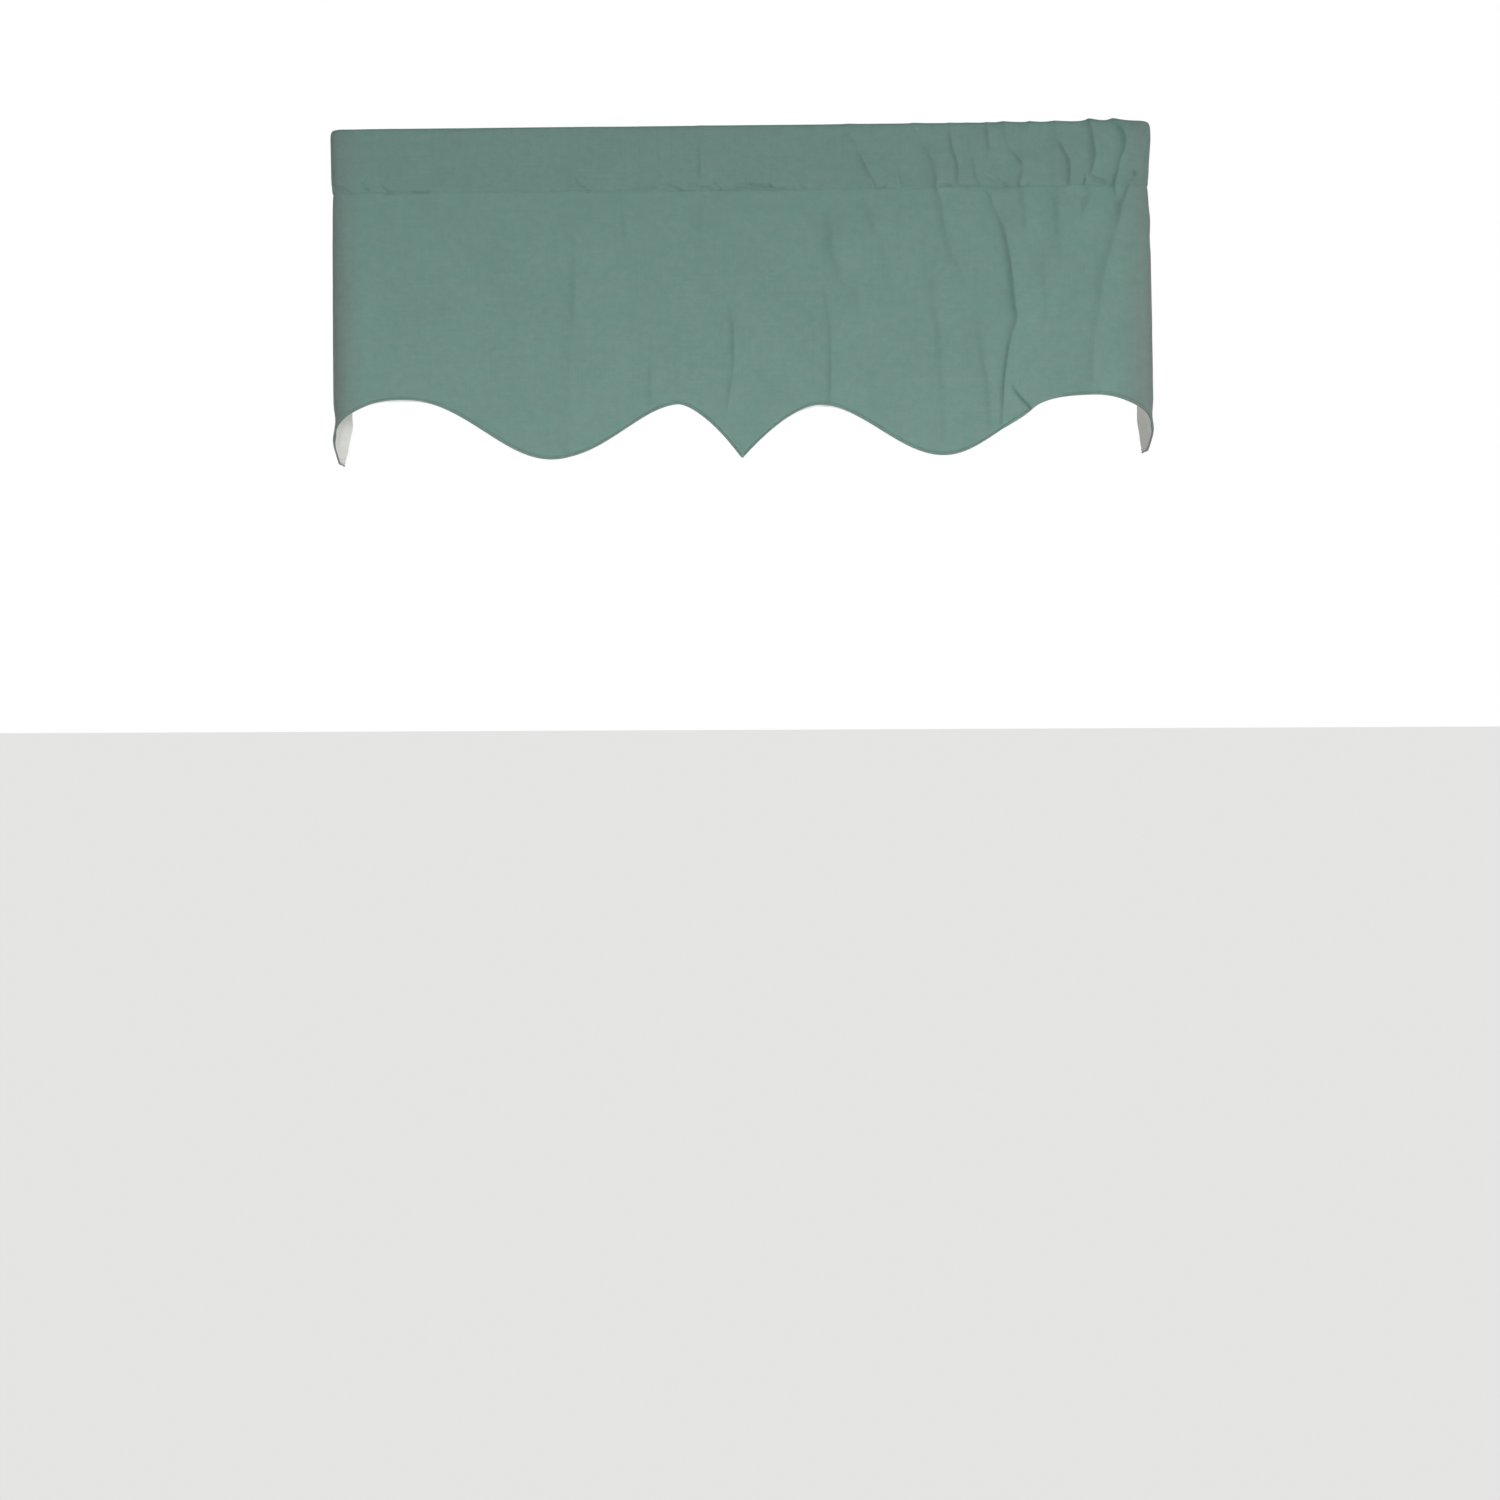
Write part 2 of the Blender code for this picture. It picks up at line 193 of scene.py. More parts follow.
def hem_depth(along):
    """Find how far the hem is below the top edge. Past the corners it runs straight down to its ends."""
    depth = eased_hem(along)
    start, stop = STRAIGHT_PAST_CORNER
    for side, end in ((-1, HEM[0]), (1, HEM[-1])):
        at_corner = eased_hem(np.array([side * start]))[0]
        share = (side * along - start) / (stop - start)
        straight = between(at_corner, end.depth, np.clip(share, 0.0, 1.0))
        depth = np.where(share > 0, straight, depth)
    return depth


def lining_hem_depth(along):
    """Find the lining's hem, which rolls out below the drop's hem at two peaks."""
    roll = sum(np.exp(-((along - peak) / LINING_ROLL_HALF_WIDTH) ** 2) for peak in LINING_SHOWS_AT)
    return hem_depth(along) - LINING_SHORTER + LINING_ROLL * roll


print("Hem:", ", ".join(f"{1000 * row.depth:.0f}" for row in HEM), "mm below the top edge")

# %% [markdown]
# ## The folds
#
# The cloth was pressed, folded and then pushed a little to the right on its rod. It has a few sharp creases
# and some broad, faint waves, and most of them run from the top edge through the seam into the drop. Each
# one is a ridge that runs down the cloth through a few places. The cloth rises quickly on the ridge's left,
# where it turns away from the light and looks dark, and falls slowly on its right. At each place, "along"
# is where the left side is steepest, "rise" is the ridge's height, and "left" and "right" are the widths.
# Sculpting could raise the folds too, but a table can be read, compared with the real cloth and changed.
# The tables of folds and puckers are in millimetres, because most of their numbers are small.

# %% List the folds
FoldPlace = namedtuple("FoldPlace", "along depth rise left right")


def folds_in_metres(folds):
    """Turn a table of folds in millimetres into named places in metres."""
    return {name: tuple(FoldPlace(*(number / 1000 for number in row)) for row in rows)
            for name, rows in folds.items()}


FOLDS = folds_in_metres({
    "main crease": (
        (276, 0, 0.6, 3, 10), (280, 20, 0.9, 3.2, 10), (287.2, 56.5, 2.2, 2.7, 9),
        (290.3, 69.5, 2.8, 2.7, 10), (296.5, 78.5, 1.3, 2.8, 12), (305, 87, 3.4, 3.4, 16),
        (308, 96.5, 3.3, 4.2, 20), (315, 111.5, 3.6, 5, 24), (320.5, 124, 5.4, 4.8, 24),
        (326.5, 147, 6.4, 4.5, 24), (332, 182, 7.2, 5, 26), (336.2, 220, 7.8, 5.2, 26),
        (338.7, 236.5, 6, 5.6, 26), (333.8, 251.5, 4.2, 4.2, 24), (329.6, 272, 4.2, 3, 22),
        (324, 315, 5.3, 2.8, 20), (323, 340, 3.7, 2.6, 18), (321.5, 385, 1.4, 2.6, 16)),
    "beside the main crease": (
        (289, 225, 0, 6, 14), (295.6, 272, 3.4, 4.8, 14), (302.2, 302, 5, 4.4, 12),
        (307.6, 348.5, 3, 4.4, 12), (310, 380, 1.2, 4.4, 12)),
    "middle crease": (
        (-30, 188, 0, 3.5, 12), (-19.5, 201.5, 0.9, 3.5, 12), (-12.3, 220, 1.6, 3.4, 14),
        (-8.2, 240.5, 2.5, 3.8, 16), (-7, 265, 4.3, 3.6, 18), (-7.4, 289, 1.7, 3.6, 18),
        (-10, 309.5, 2.2, 3, 16), (-13.6, 329, 2.4, 2.8, 14), (-15.5, 348, 0, 2.8, 12)),
    "upper wave, right of the middle": (
        (104.5, 104, 0, 8, 30), (112.5, 133, 6, 8, 34), (112.5, 151, 7, 9, 36),
        (119, 169, 5.4, 8, 36), (126.5, 187, 2.6, 6.6, 32), (140, 199.5, 3.4, 6, 28),
        (146.2, 214, 3, 6, 26), (147.5, 240, 0, 6, 24)),
    "lower crease, right of the middle": (
        (102, 183, 0, 2.8, 12), (104.5, 199, 0.8, 2.6, 12), (107.4, 217.5, 2.1, 3, 14),
        (111.6, 247.5, 2.6, 5.2, 20), (112, 271.5, 2.7, 3.8, 18), (111.9, 296, 3, 3.4, 16),
        (111.4, 320, 3.1, 3, 14), (110.6, 345, 1.9, 2.8, 12)),
    "wave below the second gather": (
        (151.2, 75, 0, 5, 20), (156, 100, 2.6, 5.6, 22), (163.4, 121.5, 6.2, 5.6, 22),
        (173.1, 140, 2.6, 6, 22), (179.2, 166, 2, 7, 22), (181, 195, 0, 7, 22)),
    "right lobe line": (
        (236.5, 155, 0, 4, 14), (237.2, 189, 2.4, 4.2, 14), (239, 224.5, 3.8, 4.4, 16),
        (244, 248.5, 4.2, 4.2, 18), (245.2, 273, 3, 4, 18), (249.2, 309, 1.9, 3.4, 16),
        (250.8, 345.5, 1.9, 3, 14), (252, 376, 2, 3, 14), (251.8, 400, 0.6, 3, 14)),
    "left lobe wave": (
        (-203.5, 100, 0, 4, 16), (-201.3, 172, 1.9, 4.4, 18), (-203.5, 208.5, 3.2, 3.8, 18),
        (-205, 245, 2.2, 5, 20), (-206.8, 269, 1.4, 5.6, 20), (-209.5, 305.5, 1.4, 5.6, 20),
        (-211.5, 342, 1.9, 6, 20), (-213.5, 395, 2.6, 6, 20)),
    "left peak line": (
        (-77.5, 260, 0, 2.6, 10), (-76.4, 294.5, 1, 2.6, 10), (-75.5, 340, 0.6, 2.6, 10)),
    "left of the left peak": (
        (-109.8, 265, 0, 2.6, 10), (-109.2, 305, 3, 2.6, 10), (-108.8, 345, 0.4, 2.6, 10)),
    "short line below the seam": (
        (-142.5, 82, 0, 2.4, 10), (-141, 103, 1.9, 2.4, 10), (-138.9, 131, 2.3, 2.4, 10),
        (-139.1, 158, 0, 2.4, 10)),
    "below the first gather": (
        (-47.9, 85, 0, 5, 20), (-45.6, 119.5, 2.6, 5, 20), (-44.6, 160, 0, 5, 20)),
    "corner crease": (
        (476.5, 70, 0, 3, 8), (474, 79, 4.4, 3.2, 8), (469.5, 91, 5, 3.6, 10),
        (464, 105.5, 4.3, 7, 16), (460, 121, 3.4, 8, 20), (456, 145, 0, 8, 20)),
    "wave below the eighth gather": (
        (383, 74, 1.8, 5, 16), (386.5, 90, 4.6, 6, 18), (387.6, 104.5, 6.8, 6.8, 22),
        (388.3, 127, 5.6, 6, 22), (391.3, 148, 3.8, 6, 20), (393, 175, 0, 6, 20)),
    "faint line at the right": (
        (374.5, 140, 0, 4, 16), (372.9, 190, 4, 4, 16), (375.9, 209, 3, 4, 16),
        (376, 228, 0.9, 4, 16), (372.5, 260, 0, 4, 16)),
    "first gather": (
        (-48.3, 0, 0.6, 2.8, 12), (-47.5, 15, 0.9, 2.8, 12), (-46.8, 32, 1.8, 2.8, 12),
        (-46.5, 56, 3, 2.8, 12), (-46.4, 70, 0, 2.8, 12)),
    "second gather": (
        (132.5, 2, 0.8, 3.2, 10), (136.5, 16, 2.2, 3.4, 10), (146.2, 35, 1.1, 3.4, 10),
        (153.5, 50.5, 4.7, 3.4, 10), (160.8, 66, 2.2, 3, 9), (164.5, 80, 0, 2.8, 9)),
    "third gather": (
        (211.8, 0, 1.2, 3.5, 12), (217.5, 13, 1.3, 3.5, 12), (223.6, 25, 1.3, 3.5, 12),
        (231.3, 39.5, 4, 4.5, 16), (238, 55, 3.7, 4.8, 18), (240, 69, 5, 4.6, 18),
        (240.4, 78, 5.2, 4, 20), (242.5, 85, 3.8, 4.4, 22), (246.2, 96, 4.4, 5.6, 26),
        (247.4, 110.5, 4.6, 5.8, 28), (252, 134.5, 3.6, 6, 28), (258.5, 158.5, 3.2, 6.6, 30),
        (270, 179, 3.2, 6.6, 28), (277.5, 195, 2.4, 6, 24), (281, 220, 0, 6, 24)),
    "fourth gather": (
        (256, 0, 0.8, 2.8, 10), (260.4, 33.5, 3.2, 2.8, 10), (265.3, 48, 3.6, 2.8, 10),
        (266.5, 67, 3.2, 2.8, 10), (267, 80, 0, 2.8, 10)),
    "fifth gather": (
        (301, 0, 1, 2.2, 8), (302.7, 16.5, 4.2, 2.2, 8), (304.4, 32, 2.2, 2.2, 8),
        (305.2, 45, 0, 2.2, 8)),
    "sixth gather": (
        (320, 2, 2.2, 4, 12), (324.6, 20, 3.2, 4.5, 12), (331.9, 37, 3, 4.2, 12),
        (341.7, 47.5, 5.6, 3.6, 12), (345.4, 57, 2.6, 3.2, 12), (341.5, 74, 2.8, 3, 12),
        (345, 84, 5, 4, 14), (347.2, 99.5, 3.6, 5.6, 18), (348, 120, 4.8, 6, 18),
        (348.5, 145, 0, 7, 18)),
    "seventh gather": (
        (353, 0, 2, 2.5, 8), (350.8, 16.5, 2.2, 2.5, 8), (349, 30, 0, 2.5, 8)),
    "eighth gather": (
        (378, 0, 0.6, 3, 10), (386.3, 18.5, 1.2, 3.5, 12), (392.2, 33.5, 4.9, 3.8, 16),
        (399.8, 46.5, 5.2, 3.8, 17), (401.8, 61, 4.6, 3.4, 15), (401.8, 76, 3.6, 3, 12),
        (401.9, 87, 0, 2.6, 12)),
    "ninth gather": (
        (423.7, 0, 5, 4.6, 12), (428.3, 17.5, 6.2, 4.6, 13), (431, 34, 6, 4.8, 14),
        (431.3, 45, 7, 4.6, 15), (428.7, 60, 3.8, 3.6, 14), (426.7, 72, 1, 3.2, 12),
        (427, 82, 1, 3, 12), (421.3, 101.5, 4.2, 4, 14), (418.6, 114.5, 3.4, 4.5, 14),
        (417, 135, 0, 5, 14)),
    "tenth gather": (
        (452, 0, 4.6, 4.4, 14), (463.6, 12, 7.6, 4.7, 14), (467.6, 21.5, 8, 5, 14),
        (466.6, 36, 5.4, 5, 14), (461.6, 51, 3.5, 3.8, 12), (460, 62, 4.2, 3.6, 12),
        (456.6, 75, 6.2, 3.6, 12), (457.9, 85, 4, 3.6, 14), (461.3, 98, 1.4, 5, 18),
        (462, 112.5, 3.8, 8, 24), (455.5, 138, 2.6, 7, 28), (450.5, 156, 5, 6.4, 30),
        (445.5, 175, 4.8, 8, 32), (442.5, 191, 5, 8.8, 32), (439.5, 219, 4.2, 8, 32),
        (433.5, 250.5, 3, 8, 30), (431, 304.5, 4, 8, 28), (430, 340, 1.8, 8, 26)),
    "top corner": (
        (499, 0, 1.8, 6, 10), (499, 15, 1, 6, 10), (499, 40, 0, 6, 10)),
})
print(f"Folds: {len(FOLDS)}, with {sum(len(fold) for fold in FOLDS.values())} places")

# %% Raise the ridges
RIDGE_ROUNDNESS = 0.35
CREST_FROM_STEEPEST = 0.45

# A swell of the cloth has a size, which is how far apart its humps are, a height and a seed. Its grid of
# random heights is longer and higher than the cloth.
Swell = namedtuple("Swell", "size height seed")
UNEVEN_HALF_LENGTH = 1.2 * PATH_HALF_LENGTH
UNEVEN_ABOVE = 0.1
UNEVEN_HEIGHT = 0.6
UNEVEN_SPARE = 4


def smooth_between(places, values, at):
    """Follow a smooth curve through values that are given at rising places."""
    slopes = np.gradient(values, places)
    index = np.clip(np.searchsorted(places, at) - 1, 0, len(places) - 2)
    step = places[index + 1] - places[index]
    share = np.clip((at - places[index]) / step, 0.0, 1.0)
    rest = 1 - share
    return (values[index] * (1 + 2 * share) * rest ** 2
            + slopes[index] * step * share * rest ** 2
            + values[index + 1] * (3 - 2 * share) * share ** 2
            - slopes[index + 1] * step * rest * share ** 2)


def fold_relief(folds, along, depth):
    """Add up a table of folds at places on the cloth, as an offset outwards."""
    relief = np.zeros(np.broadcast(along, depth).shape)
    for fold in folds.values():
        alongs, depths, rises, lefts, rights = (np.array(column) for column in zip(*fold))
        left = np.interp(depth, depths, lefts)
        distance = along - smooth_between(depths, alongs, depth) - CREST_FROM_STEEPEST * left
        share = distance / np.where(distance < 0, left, np.interp(depth, depths, rights))
        ridge = np.exp(RIDGE_ROUNDNESS - np.sqrt(share ** 2 + RIDGE_ROUNDNESS ** 2))
        relief += np.interp(depth, depths, rises) * ridge
    return relief


def unevenness(along, depth, swell):
    """Give smooth random swells, about one size apart, the same on each run."""
    columns = int(2 * UNEVEN_HALF_LENGTH / swell.size) + UNEVEN_SPARE
    rows = int(UNEVEN_HEIGHT / swell.size) + UNEVEN_SPARE
    heights = np.random.default_rng(swell.seed).uniform(-1.0, 1.0, (columns, rows))
    across = np.clip((along + UNEVEN_HALF_LENGTH) / swell.size, 0, columns - 2)
    down = np.clip((depth + UNEVEN_ABOVE) / swell.size, 0, rows - 2)
    column = across.astype(int)
    row = down.astype(int)
    share_across = smooth(across - column)
    above = between(heights[column, row], heights[column + 1, row], share_across)
    below = between(heights[column, row + 1], heights[column + 1, row + 1], share_across)
    return swell.height * between(above, below, smooth(down - row))


# %% [markdown]
# ## The puckers at the seam
#
# All along the seam, the stitches draw the cloth in and leave small slanting puckers, mostly on the
# heading's side. Each one is a short stroke that is pressed into the cloth, with its own depth and width.
# The last one is a slanting crease far below the seam, near the hem at the right. The seam itself lies in a
# groove, and between the folds the cloth has low, wide swells. Bump in the finish could draw all of these,
# but they would then be missing from the mesh, and from its outline.

# %% List the puckers
Pucker = namedtuple("Pucker", "trough width ends")


def puckers_in_metres(rows):
    """Turn rows of a trough, a width and a stroke's ends, all in millimetres, into puckers in metres."""
    return [Pucker(trough / 1000, width / 1000, [(along / 1000, depth / 1000) for along, depth in ends])
            for trough, width, ends in rows]


PUCKERS = puckers_in_metres((
    (2, 1.7, ((-495.3, 68.6), (-485.5, 71.1), (-477, 77.2))),
    (2, 1.8, ((-464.5, 64.1), (-458.5, 72.6), (-453.6, 75.1))),
    (1.8, 1.6, ((-442.3, 64.4), (-435.1, 71.6), (-429.1, 77.7), (-425.4, 77.7))),
    (1.4, 1.2, ((-404.5, 77.1), (-379.9, 77.4))),
    (1, 2, ((-383.3, 61.4), (-376, 67.4), (-365, 68.7))),
    (1.2, 1.8, ((-317, 64.4), (-308.5, 66.9), (-298.8, 74.2))),
    (1.4, 1.4, ((-232.6, 75), (-227.7, 78))),
    (2, 1.7, ((-202.9, 58.4), (-195.7, 69.2), (-183.6, 77.7))),
    (1.4, 1.4, ((-159, 75.5), (-144.4, 76.9))),
    (1.2, 1.6, ((-123.6, 77.3), (-113.8, 74.8), (-101.5, 72.5))),
    (2, 1.7, ((-91.7, 67.8), (-85.6, 72.7), (-75.8, 75.2), (-69.8, 77.8))),
    (1.6, 1.6, ((-66.1, 75.3), (-56.2, 70.6), (-48.9, 74.2), (-34.3, 75.6))),
    (2.2, 1.8, ((-31.8, 67.2), (-29.4, 72), (-23.3, 76.9))),
    (1.6, 1.6, ((-12.3, 77.5), (2.4, 72.4), (9.7, 76.5), (17, 77.2))),
    (2.8, 2.4, ((4.8, 71.2), (20.7, 73.7), (36.6, 73.9))),
    (2.2, 1.6, ((36.6, 70.3), (41.4, 77.5))),
    (1.6, 1.4, ((45.1, 77.3), (54.8, 76.5))),
    (1.6, 1.8, ((67.1, 67), (75.6, 74.3), (79.2, 78.5))),
    (1, 1.6, ((95.1, 75.7), (101.2, 74.5))),
    (1.6, 1.6, ((160.9, 65.6), (167, 76.4), (170.6, 77.8), (179.2, 75.3))),
    (1.2, 1.8, ((193.8, 61.1), (198.6, 74.3))),
    (1.6, 1.6, ((242.4, 75.9), (258.3, 76.8))),
    (1.4, 1.4, ((270.4, 76.9), (280.1, 77))),
    (0.7, 1.4, ((310.5, 77), (325.1, 77.1))),
    (1.3, 1.6, ((334.8, 76.6), (351.8, 75.8))),
    (1.8, 3, ((296.7, 59.8), (313.8, 69.2), (325.1, 76.7))),
    (2, 1.5, ((420, 65), (420.1, 76.5))),
    (2.2, 1.8, ((426.6, 68.2), (436, 70.4), (444.5, 74.2))),
    (3.4, 1.8, ((475.4, 60.4), (481.5, 64))),
    (3.1, 1.7, ((334, 318.5), (335.8, 320.9), (345.4, 332.3), (360, 347.5))),
))
print(f"Puckers: {len(PUCKERS)}")

# %% Press in the puckers and the seam
PUCKER_AT_START = 0.35
PUCKER_FADE = 0.006
PULL_OF_STITCHES = 1.3
BESIDE_PUCKER = (-0.0036, -0.0024, -0.0012, 0.0, 0.0012, 0.0024, 0.0036)

SEAM_DEPTH = 0.0775
SEAM_WANDER = Swell(0.030, 0.00040, 3)
SEAM_GROOVE_WIDTH = 0.0011
SEAM_GROOVE = ((-0.14, 0.00012), (-0.11, 0.00045), (0.04, 0.00045), (0.06, 0.00015),
               (0.23, 0.00015), (0.25, 0.00035), (0.35, 0.00035), (0.37, 0.00020))

# Swells of the whole cloth, which the seam holds flat, and ripples along the seam
SWELLS = (Swell(0.070, 0.00040, 5), Swell(0.024, 0.00012, 7))
SWELLS_HELD_BY_SEAM = 0.010
RIPPLE = Swell(0.011, 0.00010, 11)


def pucker_relief(along, depth):
    """Press the puckers into the cloth. Each is shallower where it starts."""
    relief = np.zeros(np.broadcast(along, depth).shape)
    for pucker in PUCKERS:
        gap = np.full(relief.shape, np.inf)
        for start, end in zip(pucker.ends, pucker.ends[1:]):
            run, fall = end[0] - start[0], end[1] - start[1]
            share = ((along - start[0]) * run + (depth - start[1]) * fall) / (run ** 2 + fall ** 2)
            share = np.clip(share, 0.0, 1.0)
            gap = np.minimum(gap, np.hypot(along - start[0] - share * run, depth - start[1] - share * fall))
        from_start = np.hypot(along - pucker.ends[0][0], depth - pucker.ends[0][1])
        full = between(PUCKER_AT_START, 1.0, smooth(from_start / PUCKER_FADE))
        relief -= PULL_OF_STITCHES * pucker.trough * full * np.exp(-(gap / pucker.width) ** 2)
    return relief


def pressed_behind(along, depth):
    """Find how much farther in a cloth behind a pucker is pressed, so that it stays behind all of it."""
    wider = np.min([pucker_relief(along + aside, depth) for aside in BESIDE_PUCKER], axis=0)
    return wider - pucker_relief(along, depth)


def seam_depth(along):
    """Find how far below the top edge the seam runs. It was sewn a little unevenly."""
    return SEAM_DEPTH + unevenness(along, np.zeros_like(along), SEAM_WANDER)


def groove_relief(along, depth):
    """Draw the cloth in along the seam, more in the middle and at the gathers than elsewhere."""
    trough = np.interp(along, [at for at, _ in SEAM_GROOVE], [pulled for _, pulled in SEAM_GROOVE])
    return -trough * np.exp(-((depth - seam_depth(along)) / SEAM_GROOVE_WIDTH) ** 2)


def cloth_relief(along, depth):
    """Find how far the cloth stands out or in, compared with a smooth one, on both sides of the seam."""
    relief = fold_relief(FOLDS, along, depth) + pucker_relief(along, depth) + groove_relief(along, depth)
    held = np.exp(-((depth - SEAM_DEPTH) / SWELLS_HELD_BY_SEAM) ** 2)
    relief += held * unevenness(along, np.zeros_like(relief), RIPPLE)
    for swell in SWELLS:
        relief += (1 - held) * unevenness(along, depth, swell)
    return relief


front_line = cloth_relief(np.linspace(-PATH_HALF_WIDTH, PATH_HALF_WIDTH, 1000), np.full(1000, SEAM_DEPTH))
print(f"Along the seam the cloth moves by {1000 * front_line.min():.1f} to {1000 * front_line.max():.1f} mm")

# %% [markdown]
# ## Cutting a cloth and hanging it
#
# Blender's grid is the flat cloth. Its points are moved to where the cloth hangs, and its UV map is set to
# each point's place on the flat cloth, in metres. The weave is drawn with that map later, so the threads
# follow the folds as real threads do. Solidify then gives the cloth its thickness, inwards.

# %% Place the columns of points
HEADING_COLUMNS = {"returns": 0.0045, "front": 0.0018}
DROP_COLUMNS = {"returns": 0.0050, "front": 0.0026}
LINING_COLUMNS = {"returns": 0.0050, "front": 0.0036}
FRONT_END = 0.512

# Columns around a guide, closest where a crease is steepest. No others lie within the clearance of their
# middle.
AROUND_GUIDE = (-0.0075, -0.0058, -0.0044, -0.0032, -0.0022, -0.0013, -0.0005, 0.0003, 0.0010, 0.0018,
                0.0028, 0.0042)
AROUND_GUIDE_MIDDLE = -0.0016
GUIDE_CLEARANCE = 0.0065
GUIDED_HALF_LENGTH = 0.490

TURNED_ANGLE = 2.5
TURN_STEPS = 5


def cloth_columns(widths, guides=()):
    """List the places along the path where the columns of points are, closer together at the guides."""
    ends = (-PATH_HALF_LENGTH, -FRONT_END, FRONT_END, PATH_HALF_LENGTH)
    places = []
    for start, end, zone in zip(ends, ends[1:], ("returns", "front", "returns")):
        places.append(np.linspace(start, end, round((end - start) / widths[zone]) + 1)[:-1])
    places = np.concatenate([*places, [PATH_HALF_LENGTH]])
    for guide in guides:
        rest = guide_rest(guide)
        places = places[np.abs(places - rest - AROUND_GUIDE_MIDDLE) > GUIDE_CLEARANCE]
        places = np.sort(np.concatenate([places, rest + np.array(AROUND_GUIDE)]))
    return places


def guide_rest(guide):
    """Find where along the straight columns a guide is, which is its middle place."""
    return float(np.mean([spot[0] for spot in guide]))


def along_creases(places, depth, guides):
    """Bend straight columns of points so that they run along the creases that are given as guides."""
    lines = [(-GUIDED_HALF_LENGTH, -GUIDED_HALF_LENGTH)]
    for guide in guides:
        alongs, depths = (np.array(column) for column in list(zip(*guide))[:2])
        lines.append((guide_rest(guide), smooth_between(depths, alongs, depth)))
    lines.append((GUIDED_HALF_LENGTH, GUIDED_HALF_LENGTH))
    places = np.broadcast_to(places, np.broadcast(places, depth).shape)
    bent = places.copy()
    for (left, left_line), (right, right_line) in zip(lines, lines[1:]):
        share = (places - left) / (right - left)
        bent = np.where((share >= 0) & (share < 1), between(left_line, right_line, share), bent)
    return bent


def with_turned_ends(places, radius):
    """Add the places past both ends where a cloth is turned to its back around a small radius."""
    turn = radius * np.linspace(0, TURNED_ANGLE, TURN_STEPS + 1)
    inner = places[np.abs(places) < PATH_HALF_LENGTH - 2 * radius]
    end = PATH_HALF_LENGTH - radius + turn
    return np.concatenate([-end[::-1], inner, end])


def turned(flat, edge, radius):
    """Turn the cloth to its back at an edge. Give the place reached and how far the cloth is set back."""
    angle = np.clip((flat - edge + radius) / radius, 0.0, TURNED_ANGLE)
    reached = np.where(angle > 0, edge - radius + radius * np.sin(angle), flat)
    return reached, radius * (1 - np.cos(angle))


print(f"Columns: {len(cloth_columns(DROP_COLUMNS))} in the drop, before its creases get more")

# %% Hang a cloth
SMOOTH_BELOW = math.radians(50)


def hang_cloth(name, x, y, z, across, down, thickness):
    """Make a sheet whose points lie at x, y and z, in rows from the bottom up, and give it a thickness."""
    rows, columns = x.shape
    bpy.ops.object.select_all(action="DESELECT")
    bpy.ops.mesh.primitive_grid_add(x_subdivisions=columns - 1, y_subdivisions=rows - 1, size=1)
    cloth = bpy.context.object
    cloth.name = name
    mesh = cloth.data
    mesh.name = name
    flat = np.empty(len(mesh.vertices) * 3)
    mesh.vertices.foreach_get("co", flat)
    flat = flat.reshape(-1, 3)
    column = np.rint((flat[:, 0] + 0.5) * (columns - 1)).astype(int)
    row = np.rint((flat[:, 1] + 0.5) * (rows - 1)).astype(int)
    hung = np.stack([x[row, column], y[row, column], z[row, column]], axis=1)
    mesh.vertices.foreach_set("co", hung.ravel())
    corner = np.empty(len(mesh.loops), dtype=int)
    mesh.loops.foreach_get("vertex_index", corner)
    cut = np.stack([across[row, column], down[row, column]], axis=1)[corner]
    mesh.uv_layers.active.data.foreach_set("uv", cut.ravel())
    mesh.update()
    solidify = cloth.modifiers.new("thickness", "SOLIDIFY")
    solidify.thickness = thickness
    solidify.offset = -1
    solidify.use_even_offset = False
    bpy.ops.object.modifier_apply(modifier=solidify.name)
    bpy.ops.object.shade_smooth_by_angle(angle=SMOOTH_BELOW)
    print(f"{name}: {rows} rows, {columns} columns, {len(mesh.polygons)} faces")
    return cloth


# %% [markdown]
# ## The heading
#
# The heading is one strip, folded in half over the rod and sewn to the drop at its lower edges. The strip
# is swept along its section here: up the front wall, over the crest and down the back wall, which comes
# forward again to meet the seam. The gathers push the front wall and the crest in and out, and the edge of
# the back wall where it is sewn down. A bevelled curve could sweep the section as well, but it couldn't
# change it from place to place as the gathers do. A row of the section's table has its offset outwards, its
# depth, its share of the gathers and the number of steps to the next row.

# %% Make the heading
HEADING_EDGE_RADIUS = 0.0008
HEADING_SECTION = (
    (0.0028, 0.0779, 1.0, 1),
    (0.0033, 0.0770, 1.0, 2),
    (0.0040, 0.0750, 1.0, 5),
    (0.0047, 0.0690, 1.0, 5),
    (0.0053, 0.0600, 1.0, 6),
    (0.0055, 0.0450, 1.0, 6),
    (0.0055, 0.0270, 1.0, 6),
    (0.0054, 0.0100, 1.0, 3),
    (0.0046, 0.0034, 0.9, 2),
    (0.0028, 0.0008, 0.7, 2),
    (0.0000, 0.0000, 0.5, 2),
    (-0.0028, 0.0008, 0.3, 2),
    (-0.0046, 0.0034, 0.2, 2),
    (-0.0054, 0.0100, 0.0, 3),
    (-0.0055, 0.0350, 0.0, 3),
    (-0.0052, 0.0590, 0.0, 2),
    (-0.0028, 0.0690, 0.5, 3),
    (0.0001, 0.0755, 1.0, 3),
    (0.0006, 0.0800, 1.0, 1),
)
CREST_DEPTH = 0.010
GUIDES_END_BELOW_SEAM = 0.083
HEADING_GUIDES = [tuple(spot for spot in FOLDS[name] if spot.depth < GUIDES_END_BELOW_SEAM) for name in (
    "first gather", "second gather", "third gather", "fourth gather", "main crease", "sixth gather",
    "eighth gather", "ninth gather", "tenth gather")]


